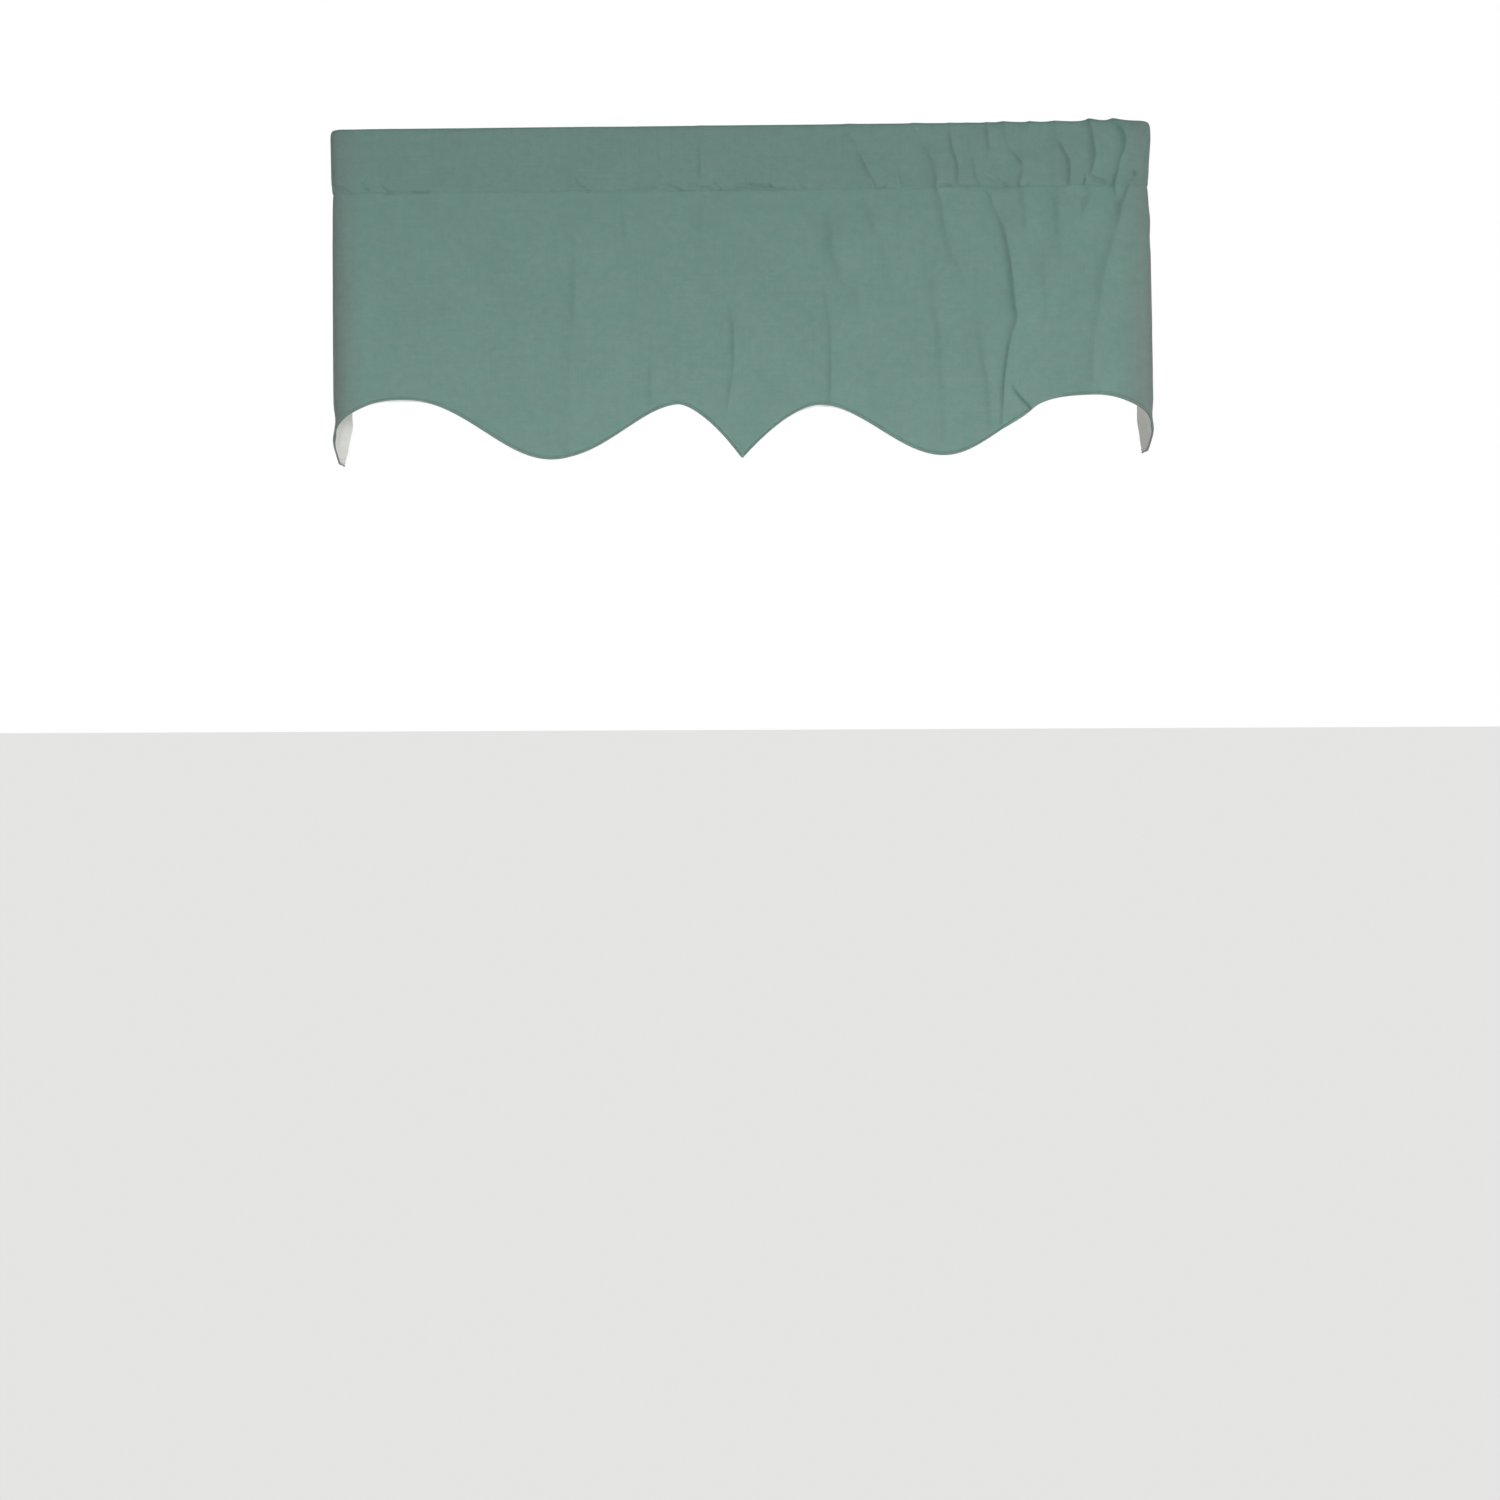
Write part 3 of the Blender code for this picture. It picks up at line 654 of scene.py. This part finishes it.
def smooth_line(values, steps):
    """Run a smooth line through values, with a number of steps from each value to the next."""
    padded = np.concatenate([[2 * values[0] - values[1]], values, [2 * values[-1] - values[-2]]])
    line = []
    for index, count in enumerate(steps[:-1]):
        before, start, end, after = padded[index:index + 4]
        for share in np.arange(count) / count:
            line.append(start + 0.5 * share * (end - before + share * (
                2 * before - 5 * start + 4 * end - after + share * (3 * (start - end) + after - before))))
    line.append(values[-1])
    return np.array(line)


def make_heading():
    """Sweep the heading's section along the path, with its gathers and puckers."""
    *columns, steps = zip(*HEADING_SECTION)
    out, depth, gather = (smooth_line(np.array(column), steps)[:, None] for column in columns)
    tangent_out, tangent_depth = np.gradient(out, axis=0), np.gradient(depth, axis=0)
    length = np.hypot(tangent_out, tangent_depth)
    on_crest = smooth((CREST_DEPTH - depth) / CREST_DEPTH)
    push_out = 1 + (-tangent_depth / length - 1) * on_crest
    push_down = tangent_out / length * on_crest
    run = np.concatenate([[0], np.cumsum(np.hypot(np.diff(out[:, 0]), np.diff(depth[:, 0])))])
    flat = with_turned_ends(cloth_columns(HEADING_COLUMNS, HEADING_GUIDES), HEADING_EDGE_RADIUS)
    flat_along = along_creases(flat[None, :], depth, HEADING_GUIDES)
    along, set_back = turned(np.abs(flat_along), PATH_HALF_LENGTH, HEADING_EDGE_RADIUS)
    along = along * np.sign(flat_along)
    at_back = (np.arange(len(run)) > len(run) / 2)[:, None]
    gathered = (cloth_relief(along, depth) + np.where(at_back, pressed_behind(along, depth), 0.0)) * gather
    inwards = np.where(at_back, set_back, -set_back)
    x, y, z = place(along, depth + gathered * push_down, out + gathered * push_out + inwards)
    down = np.broadcast_to(run[:, None], x.shape)
    heading = hang_cloth("heading_strip", x, y, z, flat_along, down, DUCK_THICKNESS)
    return heading, run[-1]


heading, heading_length = make_heading()
print(f"Heading strip: {heading_length:.3f} m from edge to edge")

# %% [markdown]
# ## The drop
#
# The drop hangs from inside the seam. It is of the same duck as the heading, and one grid of points could
# hold both. It is a piece of its own here because its points need other places: close together near the
# seam and the hem, where the cloth bends most. The hem itself is turned to the back around a small radius.

# %% Make the drop
DROP_ROWS_AT_SEAM = (0.0745, 0.0758, 0.0766, 0.0772, 0.0778, 0.0785, 0.0793, 0.0803, 0.0815, 0.0830,
                     0.0850, 0.0875, 0.0905, 0.0940)
DROP_MIDDLE_ROWS = 60
DROP_ROWS_AT_HEM = (0.0120, 0.0090, 0.0070, 0.0056, 0.0047, 0.0041, 0.0036, 0.0031, 0.0026, 0.0020)
HEM_RADIUS = 0.0015
OFFSET_AT_TOP = 0.0026
OFFSET_BELOW_SEAM = 0.0035
OFFSET_RISE = 0.0055
HEM_LINE = {"above": 0.0034, "trough": 0.00140, "width": 0.0010}
SIDE_RADIUS = 0.0005
SLANTING_CREASE = ((0.3560, 0.0770), (0.3560, 0.2400), (0.3500, 0.2750), *PUCKERS[-1].ends[1:],
                   (0.3600, 0.4100))
GUIDES_START_ABOVE_SEAM = 0.069
DROP_GUIDES = [tuple(spot for spot in FOLDS[name] if spot.depth > GUIDES_START_ABOVE_SEAM) for name in (
    "middle crease", "lower crease, right of the middle", "third gather", "main crease", "tenth gather")]
DROP_GUIDES.insert(-1, SLANTING_CREASE)


def hanging_rows(bottom, radius, at_seam, middle_rows, at_hem):
    """List each column's flat depths, from the turned hem up to the top edge."""
    turn = np.linspace(TURNED_ANGLE, 0, TURN_STEPS + 1)
    rows = [bottom - radius + radius * angle for angle in turn]
    rows += [bottom - above for above in reversed(at_hem)]
    rows += [between(bottom - at_hem[0], at_seam[-1], step / middle_rows) for step in range(1, middle_rows)]
    rows += [np.full_like(bottom, depth) for depth in reversed(at_seam)]
    return np.array(rows)


def hanging_offset(depth):
    """Find the smooth cloth's offset, from inside the heading at its top to its place below the seam."""
    return between(OFFSET_AT_TOP, OFFSET_BELOW_SEAM, smooth((depth - DROP_ROWS_AT_SEAM[0]) / OFFSET_RISE))


def hem_line(along, depth):
    """Press a fine line into the drop, just above its hem, where the turned edge ends inside."""
    above = hem_depth(along) - depth
    return -HEM_LINE["trough"] * np.exp(-((above - HEM_LINE["above"]) / HEM_LINE["width"]) ** 2)


def make_hanging(name, bottom_at, radius, thickness, columns, rows, guides, relief):
    """Make one hanging cloth, from its top edge inside the seam to its turned hem."""
    flat = with_turned_ends(cloth_columns(columns, guides), SIDE_RADIUS)
    at_hem = along_creases(flat, np.full_like(flat, DROP_TO_LOWEST_HEM), guides)
    bottom = bottom_at(np.clip(at_hem, -PATH_HALF_LENGTH, PATH_HALF_LENGTH))
    flat_depth = hanging_rows(bottom, radius, *rows)
    flat_along = along_creases(flat[None, :], flat_depth, guides)
    along, side_back = turned(np.abs(flat_along), PATH_HALF_LENGTH, SIDE_RADIUS)
    along = along * np.sign(flat_along)
    depth, hem_back = turned(flat_depth, bottom[None, :], radius)
    offset = hanging_offset(depth) + relief(along, depth) - np.maximum(hem_back, side_back)
    x, y, z = place(along, depth, offset)
    return hang_cloth(name, x, y, z, flat_along, -flat_depth, thickness)


def drop_relief(along, depth):
    """Shape the drop: its folds and the fine line above its hem."""
    return cloth_relief(along, depth) + hem_line(along, depth)


drop = make_hanging("drop_face", hem_depth, HEM_RADIUS, DUCK_THICKNESS, DROP_COLUMNS,
                    (DROP_ROWS_AT_SEAM, DROP_MIDDLE_ROWS, DROP_ROWS_AT_HEM), DROP_GUIDES, drop_relief)

# %% [markdown]
# ## The lining
#
# The lining is a finer, off-white cloth of the same cut. It hangs close behind the drop, a little looser,
# and meets it at the hem. At two peaks it has rolled out and shows as a thin light line, and inside both
# returns it is seen from the room.

# %% Make the lining
LINING_ROWS_AT_SEAM = (0.0758, 0.0776, 0.0800, 0.0842, 0.0900)
LINING_MIDDLE_ROWS = 60
LINING_ROWS_AT_HEM = (0.0110, 0.0076, 0.0058, 0.0046, 0.0038, 0.0030, 0.0022, 0.0014)
LINING_HEM_RADIUS = 0.0005
LINING_GAP = 0.0002
LINING_BEHIND = DUCK_THICKNESS + LINING_GAP
LINING_SLACK = {"least": 0.0004, "most": 0.0012, "from_seam": 0.030, "from_hem": 0.020}
LINING_SWELL = Swell(0.050, 0.5, 23)
LINING_FOLDS = folds_in_metres({
    "inside the left return": (
        (-540, 250, 0, 6, 3.4), (-540.5, 320, -5, 6, 3.4), (-542, 362, -5, 6, 3.4),
        (-544, 380, -1, 6, 4), (-544, 410, 0, 6, 4)),
    "inside the right return": (
        (540, 250, 0, 4, 6), (540, 320, -4, 4, 6), (542, 355, -4, 4, 6),
        (544, 372, -0.8, 4, 6), (544, 410, 0, 4, 6)),
})


def lining_relief(along, depth):
    """Shape the lining: behind the drop's folds, looser than the drop, and held by the seam and the hem."""
    away = smooth((depth - POCKET_HEIGHT) / LINING_SLACK["from_seam"])
    away = away * smooth((lining_hem_depth(along) - depth) / LINING_SLACK["from_hem"])
    looseness = 0.5 + unevenness(along, depth, LINING_SWELL)
    slack = between(LINING_SLACK["least"], LINING_SLACK["most"], looseness)
    folds = drop_relief(along, depth) + pressed_behind(along, depth)
    return folds + fold_relief(LINING_FOLDS, along, depth) - away * slack - LINING_BEHIND


lining = make_hanging("drop_lining", lining_hem_depth, LINING_HEM_RADIUS, LINING_THICKNESS, LINING_COLUMNS,
                      (LINING_ROWS_AT_SEAM, LINING_MIDDLE_ROWS, LINING_ROWS_AT_HEM), DROP_GUIDES,
                      lining_relief)

# %% [markdown]
# ## The stitching
#
# One row of stitches runs in the groove of the seam, on the front and on the back. A curve would give one
# long cord there, where a machine's thread goes in and out of the cloth. So one stitch is modelled from a
# small sphere with few faces, stretched along the thread, and all others repeat its points in one mesh.

# %% Sew the seam
STITCH_PITCH = 0.0032
STITCH_HALF_LENGTH = 0.0013
STITCH_HALF_THICKNESS = 0.00022
FRONT_STITCHES_SUNK = 0.00010
BACK_STITCHES_OUT = 0.0003


def stitch_row(along, depths, outs, shape):
    """Lay a stitch at each place along the seam, turned to follow the path."""
    middle, ahead, behind = (np.stack(place(along + step, depths, outs), axis=1)
                             for step in (0.0, STITCH_HALF_LENGTH, -STITCH_HALF_LENGTH))
    tangent = ahead - behind
    tangent /= np.linalg.norm(tangent, axis=1)[:, None]
    up = np.broadcast_to((0.0, 0.0, 1.0), tangent.shape)
    axes = np.stack([tangent * STITCH_HALF_LENGTH, np.cross(tangent, up) * STITCH_HALF_THICKNESS,
                     up * STITCH_HALF_THICKNESS], axis=1)
    return middle[:, None] + shape @ axes


def make_stitching():
    """Repeat one low sphere along the seam, on its front and on its back."""
    bpy.ops.object.select_all(action="DESELECT")
    bpy.ops.mesh.primitive_uv_sphere_add(segments=6, ring_count=4, radius=1, rotation=(0, math.pi / 2, 0))
    stitch = bpy.context.object
    bpy.ops.object.transform_apply(location=False, rotation=True, scale=False)
    shape = np.array([vertex.co for vertex in stitch.data.vertices])
    faces = [list(face.vertices) for face in stitch.data.polygons]
    bpy.data.objects.remove(stitch)
    end = PATH_HALF_LENGTH - 2 * STITCH_PITCH
    along = np.arange(-end, end, STITCH_PITCH)
    depths = seam_depth(along)
    relief = cloth_relief(along, depths)
    front = hanging_offset(depths) + relief - FRONT_STITCHES_SUNK
    back = BACK_STITCHES_OUT + relief + pressed_behind(along, depths)
    points = np.concatenate([stitch_row(along, depths, outs, shape) for outs in (front, back)])
    all_faces = [[index + copy * len(shape) for index in face] for copy in range(len(points))
                 for face in faces]
    mesh = bpy.data.meshes.new("seam_stitching")
    mesh.from_pydata(points.reshape(-1, 3).tolist(), [], all_faces)
    stitching = bpy.data.objects.new("seam_stitching", mesh)
    bpy.context.scene.collection.objects.link(stitching)
    bpy.context.view_layer.objects.active = stitching
    stitching.select_set(True)
    bpy.ops.object.shade_smooth()
    bpy.ops.object.mode_set(mode="EDIT")
    bpy.ops.mesh.select_all(action="SELECT")
    bpy.ops.mesh.normals_make_consistent(inside=False)
    bpy.ops.object.mode_set(mode="OBJECT")
    print(f"Stitches: {len(points)}, {len(mesh.polygons)} faces")
    return stitching


stitching = make_stitching()

# %% [markdown]
# ## The cloths' finish
#
# Duck is a plain weave of thick threads: each thread passes over one neighbour and under the next. The
# pattern is worked out from sine waves on the UV map, where one unit is one metre. It paints shade into the
# gaps between the threads and raises them as bump. Noise that is stretched along the threads makes some of
# them thicker and darker, and wide, faint noise gives the dyed cloth its slightly uneven tone. The drop has
# painted light that makes it a little paler towards its hem, and both parts of the green cloth have painted
# shade that makes them darker and a little greyer around the corners.
# A picture of cloth could be used instead, but it would repeat, and would bring its own light with it.

# %% Node helpers
def new_finish(name):
    """Start a material, and give it with its nodes and its shader."""
    finish = bpy.data.materials.new(name)
    finish.use_nodes = True
    return finish, finish.node_tree, finish.node_tree.nodes["Principled BSDF"]


def feed(tree, socket, value):
    """Link a node's result to a socket, or set the socket to a plain value."""
    if isinstance(value, bpy.types.NodeSocket):
        tree.links.new(value, socket)
    else:
        socket.default_value = value


def math_node(tree, operation, first, second=None):
    """Add a sum of one kind, and give its result."""
    node = tree.nodes.new("ShaderNodeMath")
    node.operation = operation
    feed(tree, node.inputs[0], first)
    if second is not None:
        feed(tree, node.inputs[1], second)
    return node.outputs[0]


def added(tree, *values):
    """Add up two or more values, and give the result."""
    total = values[0]
    for value in values[1:]:
        total = math_node(tree, "ADD", total, value)
    return total


def stretched_noise(tree, uv, scale, detail=2.0):
    """Add noise on the flat cloth, with a scale across and one down, and give its value."""
    mapping = tree.nodes.new("ShaderNodeMapping")
    mapping.inputs["Scale"].default_value = (scale[0], scale[1], 1.0)
    noise = tree.nodes.new("ShaderNodeTexNoise")
    noise.inputs["Scale"].default_value = 1.0
    noise.inputs["Detail"].default_value = detail
    tree.links.new(uv, mapping.inputs["Vector"])
    tree.links.new(mapping.outputs["Vector"], noise.inputs["Vector"])
    return noise.outputs["Fac"]


def ranged(tree, value, low, high, to_low, to_high):
    """Map a value from one range to another, without going past its ends."""
    node = tree.nodes.new("ShaderNodeMapRange")
    tree.links.new(value, node.inputs["Value"])
    for name, number in (("From Min", low), ("From Max", high), ("To Min", to_low), ("To Max", to_high)):
        node.inputs[name].default_value = number
    return node.outputs["Result"]


def mixed(tree, factor, first, second, blend="MIX"):
    """Mix a second colour into the first one, and give the result."""
    mix = tree.nodes.new("ShaderNodeMix")
    mix.data_type = "RGBA"
    mix.blend_type = blend
    feed(tree, mix.inputs["A"], first)
    mix.inputs["B"].default_value = second
    tree.links.new(factor, mix.inputs["Factor"])
    return mix.outputs["Result"]


def plain_weave(tree, across, down, pitch):
    """Work out the height of a plain weave, from 0 in its gaps to 1 on its threads."""
    across, down = (math_node(tree, "SINE", math_node(tree, "MULTIPLY", value, math.pi / pitch))
                    for value in (across, down))
    crossing = math_node(tree, "MULTIPLY", across, down)
    warp = math_node(tree, "ADD", math_node(tree, "ABSOLUTE", across), crossing)
    weft = math_node(tree, "SUBTRACT", math_node(tree, "ABSOLUTE", down), crossing)
    return math_node(tree, "MULTIPLY", math_node(tree, "MAXIMUM", warp, weft), 0.5)


# %% Make the woven finishes
# How many lumps to the metre a thread's noise has along it, and to the pitch across it
THREAD_ALONG = 9.0
THREAD_ACROSS = 0.7

# The noises in the tone: patches to the metre, detail, half the noise's range and half the tone's range
TONE_NOISES = ((260.0, 3.0, 0.20, 0.07), (16.0, 2.0, 0.20, 0.06), (95.0, 1.0, 0.15, 0.07))
HUE_PATCHES = 38.0
HUE_RANGE = (0.35, 0.65)

# Ranges: of both threads' noises together, of the weave's height, and of the tone from gaps to threads,
# which paints shade into the gaps
THREADS_RANGE = (0.7, 1.3)
WEAVE_RANGE = (0.2, 0.9)
WEAVE_GAP_SHADE = (0.10, 0.80)
WEAVE_ROUGHNESS = 0.05
THREADS_RAISED = 0.3
BUMP_STRENGTH = 0.5
CLOTH_SPECULAR = 0.2
SHEEN_ROUGHNESS = 0.5

# Painted shade: near the corners the green cloth is made darker and greyer, where it bends away from the
# light
CORNER_PAINTED_SHADE = (1.04, 0.80, 0.83, 1.0)
CORNER_PAINTED_SHADE_FROM = 0.462
CORNER_PAINTED_SHADE_FULL = 0.500


def woven(name, dark, light, hue, pitch, relief, roughness, sheen, slubs, painted_hem_light=0.0, edge=0.0):
    """Make a woven cloth: its weave with painted shade in the gaps, its uneven threads and its uneven dye,
    in the given colours, with painted light towards the hem and painted shade of strength edge at the
    corners.
    """
    finish, tree, shader = new_finish(name)
    uv = tree.nodes.new("ShaderNodeUVMap").outputs["UV"]
    on_cloth = tree.nodes.new("ShaderNodeSeparateXYZ")
    tree.links.new(uv, on_cloth.inputs["Vector"])
    across, down = on_cloth.outputs["X"], on_cloth.outputs["Y"]
    height = plain_weave(tree, across, down, pitch)
    threads = added(tree, stretched_noise(tree, uv, (THREAD_ACROSS / pitch, THREAD_ALONG)),
                    stretched_noise(tree, uv, (THREAD_ALONG, THREAD_ACROSS / pitch)))

    tones = [ranged(tree, threads, *THREADS_RANGE, -slubs, slubs)]
    for patches, detail, half_range, change in TONE_NOISES:
        noise = stretched_noise(tree, uv, (patches, patches), detail)
        tones.append(ranged(tree, noise, 0.5 - half_range, 0.5 + half_range, -change, change))
    # Painted light: the drop grows paler from the seam towards its lowest hem, for light that falls more on
    # its lower part
    tones.append(ranged(tree, down, -POCKET_HEIGHT, -DROP_TO_LOWEST_HEM, -painted_hem_light, painted_hem_light))
    # Painted shade: the gaps between the threads are darker than the threads on top
    tones.append(ranged(tree, height, *WEAVE_RANGE, *WEAVE_GAP_SHADE))
    colour = mixed(tree, added(tree, *tones), dark, light)
    hue_noise = stretched_noise(tree, uv, (HUE_PATCHES, HUE_PATCHES), 1.0)
    colour = mixed(tree, ranged(tree, hue_noise, *HUE_RANGE, 0.0, 1.0), colour, hue, "MULTIPLY")
    # Painted shade at the corners, as strong as edge
    from_middle = math_node(tree, "ABSOLUTE", across)
    at_corner = ranged(tree, from_middle, CORNER_PAINTED_SHADE_FROM, CORNER_PAINTED_SHADE_FULL, 0.0, edge)
    colour = mixed(tree, at_corner, colour, CORNER_PAINTED_SHADE, "MULTIPLY")

    tree.links.new(colour, shader.inputs["Base Color"])
    rough = ranged(tree, height, *WEAVE_RANGE, roughness + WEAVE_ROUGHNESS, roughness - WEAVE_ROUGHNESS)
    tree.links.new(rough, shader.inputs["Roughness"])
    shader.inputs["Specular IOR Level"].default_value = CLOTH_SPECULAR
    shader.inputs["Sheen Weight"].default_value = sheen
    shader.inputs["Sheen Roughness"].default_value = SHEEN_ROUGHNESS
    bump = tree.nodes.new("ShaderNodeBump")
    bump.inputs["Strength"].default_value = BUMP_STRENGTH
    bump.inputs["Distance"].default_value = relief
    raised = added(tree, height, math_node(tree, "MULTIPLY", threads, THREADS_RAISED))
    tree.links.new(raised, bump.inputs["Height"])
    tree.links.new(bump.outputs["Normal"], shader.inputs["Normal"])
    return finish


DROP_DARK = (0.120, 0.212, 0.185, 1.0)
DROP_LIGHT = (0.185, 0.301, 0.268, 1.0)
# Painted shade: the heading's colours are the drop's duck made darker, for the shade that falls on the
# heading
HEADING_SHADED_DARK = (0.107, 0.184, 0.163, 1.0)
HEADING_SHADED_LIGHT = (0.165, 0.261, 0.236, 1.0)
GREEN_HUE = (0.96, 1.01, 0.99, 1.0)
LINING_DARK = (0.65, 0.66, 0.63, 1.0)
LINING_LIGHT = (0.78, 0.79, 0.76, 1.0)
LINING_HUE = (1.0, 1.0, 0.99, 1.0)
DUCK = {"pitch": 0.00065, "relief": 0.00020, "roughness": 0.90, "sheen": 0.20, "slubs": 0.10}
FINE_CLOTH = {"pitch": 0.00040, "relief": 0.00010, "roughness": 0.85, "sheen": 0.05, "slubs": 0.15}

# Each green finish gets painted shade at its corners, as strong as edge, and the drop gets painted light
# towards its hem
heading_finish = woven("sage duck, heading", HEADING_SHADED_DARK, HEADING_SHADED_LIGHT, GREEN_HUE, **DUCK, edge=0.7)
drop_finish = woven("sage duck, drop", DROP_DARK, DROP_LIGHT, GREEN_HUE, **DUCK, painted_hem_light=0.20, edge=1.0)
lining_finish = woven("off-white lining", LINING_DARK, LINING_LIGHT, LINING_HUE, **FINE_CLOTH)

# %% Make the thread's finish
THREAD_DARK = (0.10, 0.18, 0.155, 1.0)
THREAD_LIGHT = (0.16, 0.27, 0.235, 1.0)
THREAD_TWIST = 900.0
THREAD_ROUGHNESS = 0.6


def thread_finish():
    """Make the sewing thread: the cloth's own green, with a fine twist across it."""
    finish, tree, shader = new_finish("sage sewing thread")
    wave = tree.nodes.new("ShaderNodeTexWave")
    wave.inputs["Scale"].default_value = THREAD_TWIST
    wave.bands_direction = "DIAGONAL"
    tree.links.new(tree.nodes.new("ShaderNodeTexCoord").outputs["Object"], wave.inputs["Vector"])
    colour = mixed(tree, wave.outputs["Fac"], THREAD_DARK, THREAD_LIGHT)
    tree.links.new(colour, shader.inputs["Base Color"])
    shader.inputs["Roughness"].default_value = THREAD_ROUGHNESS
    return finish


for piece, finish in ((heading, heading_finish), (drop, drop_finish), (lining, lining_finish),
                      (stitching, thread_finish())):
    piece.data.materials.clear()
    piece.data.materials.append(finish)
    print(f"{piece.name}: {finish.name}, {len(finish.node_tree.nodes)} nodes")

# %% [markdown]
# ## The room around it
#
# The valance hangs in front of a pale, empty background, over a pale floor as far down as a real one. The
# light is that of a studio. One large soft lamp stands far in front and to the right, so that the cloth
# turns darker where it bends away to the left. Weak lamps at both sides and behind light the returns and
# the lining, with a little pale light from all around. The camera sees the floor and the background
# brighter than they light the cloth.

# %% Make the floor and the background
FLOOR_BELOW_TOP = 2.10
FLOOR_SIZE = 60
FLOOR_COLOUR = (0.88, 0.88, 0.87, 1.0)
FLOOR_ROUGHNESS = 0.8
FLOOR_GLOW = 0.10
FLOOR_SEEN = 0.78
WARM_WHITE = (1.0, 1.0, 0.99, 1.0)
WHITE = (1.0, 1.0, 1.0, 1.0)
ROOM_LIGHT = 0.10
ROOM_SEEN = 1.0


def show_camera(tree, real, kind, colour, strength, output):
    """Let the camera see a plain colour, where light that bounces meets the real shader."""
    seen = tree.nodes.new(kind)
    seen.inputs["Color"].default_value = colour
    seen.inputs["Strength"].default_value = strength
    ray = tree.nodes.new("ShaderNodeLightPath")
    either = tree.nodes.new("ShaderNodeMixShader")
    tree.links.new(ray.outputs["Is Camera Ray"], either.inputs["Fac"])
    tree.links.new(real.outputs[0], either.inputs[1])
    tree.links.new(seen.outputs[0], either.inputs[2])
    tree.links.new(either.outputs["Shader"], tree.nodes[output].inputs["Surface"])


bpy.ops.object.select_all(action="DESELECT")
bpy.ops.mesh.primitive_plane_add(size=FLOOR_SIZE, location=(0, 0, -FLOOR_BELOW_TOP))
floor = bpy.context.object
floor.name = "floor"
floor_finish, floor_tree, floor_shader = new_finish("pale floor")
floor_shader.inputs["Base Color"].default_value = FLOOR_COLOUR
floor_shader.inputs["Roughness"].default_value = FLOOR_ROUGHNESS
floor_shader.inputs["Emission Color"].default_value = WARM_WHITE
floor_shader.inputs["Emission Strength"].default_value = FLOOR_GLOW
show_camera(floor_tree, floor_shader, "ShaderNodeEmission", WARM_WHITE, FLOOR_SEEN, "Material Output")
floor.data.materials.append(floor_finish)

world = bpy.data.worlds.new("pale room")
world.use_nodes = True
bpy.context.scene.world = world
background = world.node_tree.nodes["Background"]
background.inputs["Color"].default_value = WHITE
background.inputs["Strength"].default_value = ROOM_LIGHT
show_camera(world.node_tree, background, "ShaderNodeBackground", WHITE, ROOM_SEEN, "World Output")
print(f"Floor: {FLOOR_SIZE} m square, {FLOOR_BELOW_TOP} m below the top edge")

# %% Place the lamps and the camera
# Each lamp: its name, its place, the place that it points at, its width in metres and its power in watts
LAMPS = (
    ("front lamp", (2.85, -10.6, -0.5), (0, 0, -0.2), 3.0, 955.0),
    ("left lamp", (-3.5, -0.5, -0.2), (-0.5, 0, -0.2), 1.5, 4.0),
    ("right lamp", (3.5, 0.2, -0.2), (0.5, 0, -0.2), 1.5, 4.0),
    ("back lamp", (0.0, 3.0, 0.2), (0, 0, -0.2), 1.5, 6.0),
    ("back lamp, from the right", (1.1, 1.3, -0.3), (-0.5, 0.04, -0.36), 0.8, 12.0),
    ("back lamp, from the left", (-1.1, 1.3, -0.3), (0.5, 0.04, -0.36), 0.8, 12.0),
)
CAMERA_PLACE = (0.038, -1.8224, -0.6556)
CAMERA_YAW = 0.851
CAMERA_PITCH_DOWN = 3.39
CAMERA_ROLL = -0.299
CAMERA_LENS = 35.02
CAMERA_SENSOR = 36

for name, spot, target, width, power in LAMPS:
    lamp = bpy.data.lights.new(name, "AREA")
    lamp.shape = "SQUARE"
    lamp.size = width
    lamp.energy = power
    holder = bpy.data.objects.new(name, lamp)
    bpy.context.scene.collection.objects.link(holder)
    holder.location = spot
    holder.rotation_euler = (Vector(target) - Vector(spot)).to_track_quat("-Z", "Y").to_euler()
    holder.visible_camera = False

camera_data = bpy.data.cameras.new("camera")
camera_data.lens = CAMERA_LENS
camera_data.sensor_width = CAMERA_SENSOR
camera_data.sensor_fit = "HORIZONTAL"
camera = bpy.data.objects.new("camera", camera_data)
bpy.context.scene.collection.objects.link(camera)
turn = Euler((math.radians(90 - CAMERA_PITCH_DOWN), 0, math.radians(CAMERA_YAW))).to_matrix().to_4x4()
roll = Matrix.Rotation(math.radians(CAMERA_ROLL), 4, "Z")
camera.matrix_world = Matrix.Translation(CAMERA_PLACE) @ turn @ roll
bpy.context.scene.camera = camera
bpy.context.scene.view_settings.view_transform = "Standard"
print(f"Lamps: {len(LAMPS)}. Camera: {CAMERA_LENS} mm lens, {-CAMERA_PLACE[1]:.2f} m in front")

# %% [markdown]
# ## Attach the cloths and hide the solids that they replace
#
# Each cloth replaces the plain solid that it was cut after, which is hidden, and is attached to the root.
# The hem makes the flat area of the drop and the lining smaller than their width times their length, so
# it is added up column by column.

AREA_COLUMNS = 2000


def flat_area(bottom_at):
    """Add up the flat area of a hanging cloth, from the seam to its hem."""
    along = np.linspace(-PATH_HALF_LENGTH, PATH_HALF_LENGTH, AREA_COLUMNS)
    return float(np.mean(bottom_at(along) - POCKET_HEIGHT)) * 2 * PATH_HALF_LENGTH


for piece in (heading, drop, lining, stitching):
    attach(piece, "root")
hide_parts("front_pocket", "left_pocket", "right_pocket")
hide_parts("face_panel")
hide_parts("lining")
flat_area(hem_depth)
flat_area(lining_hem_depth)
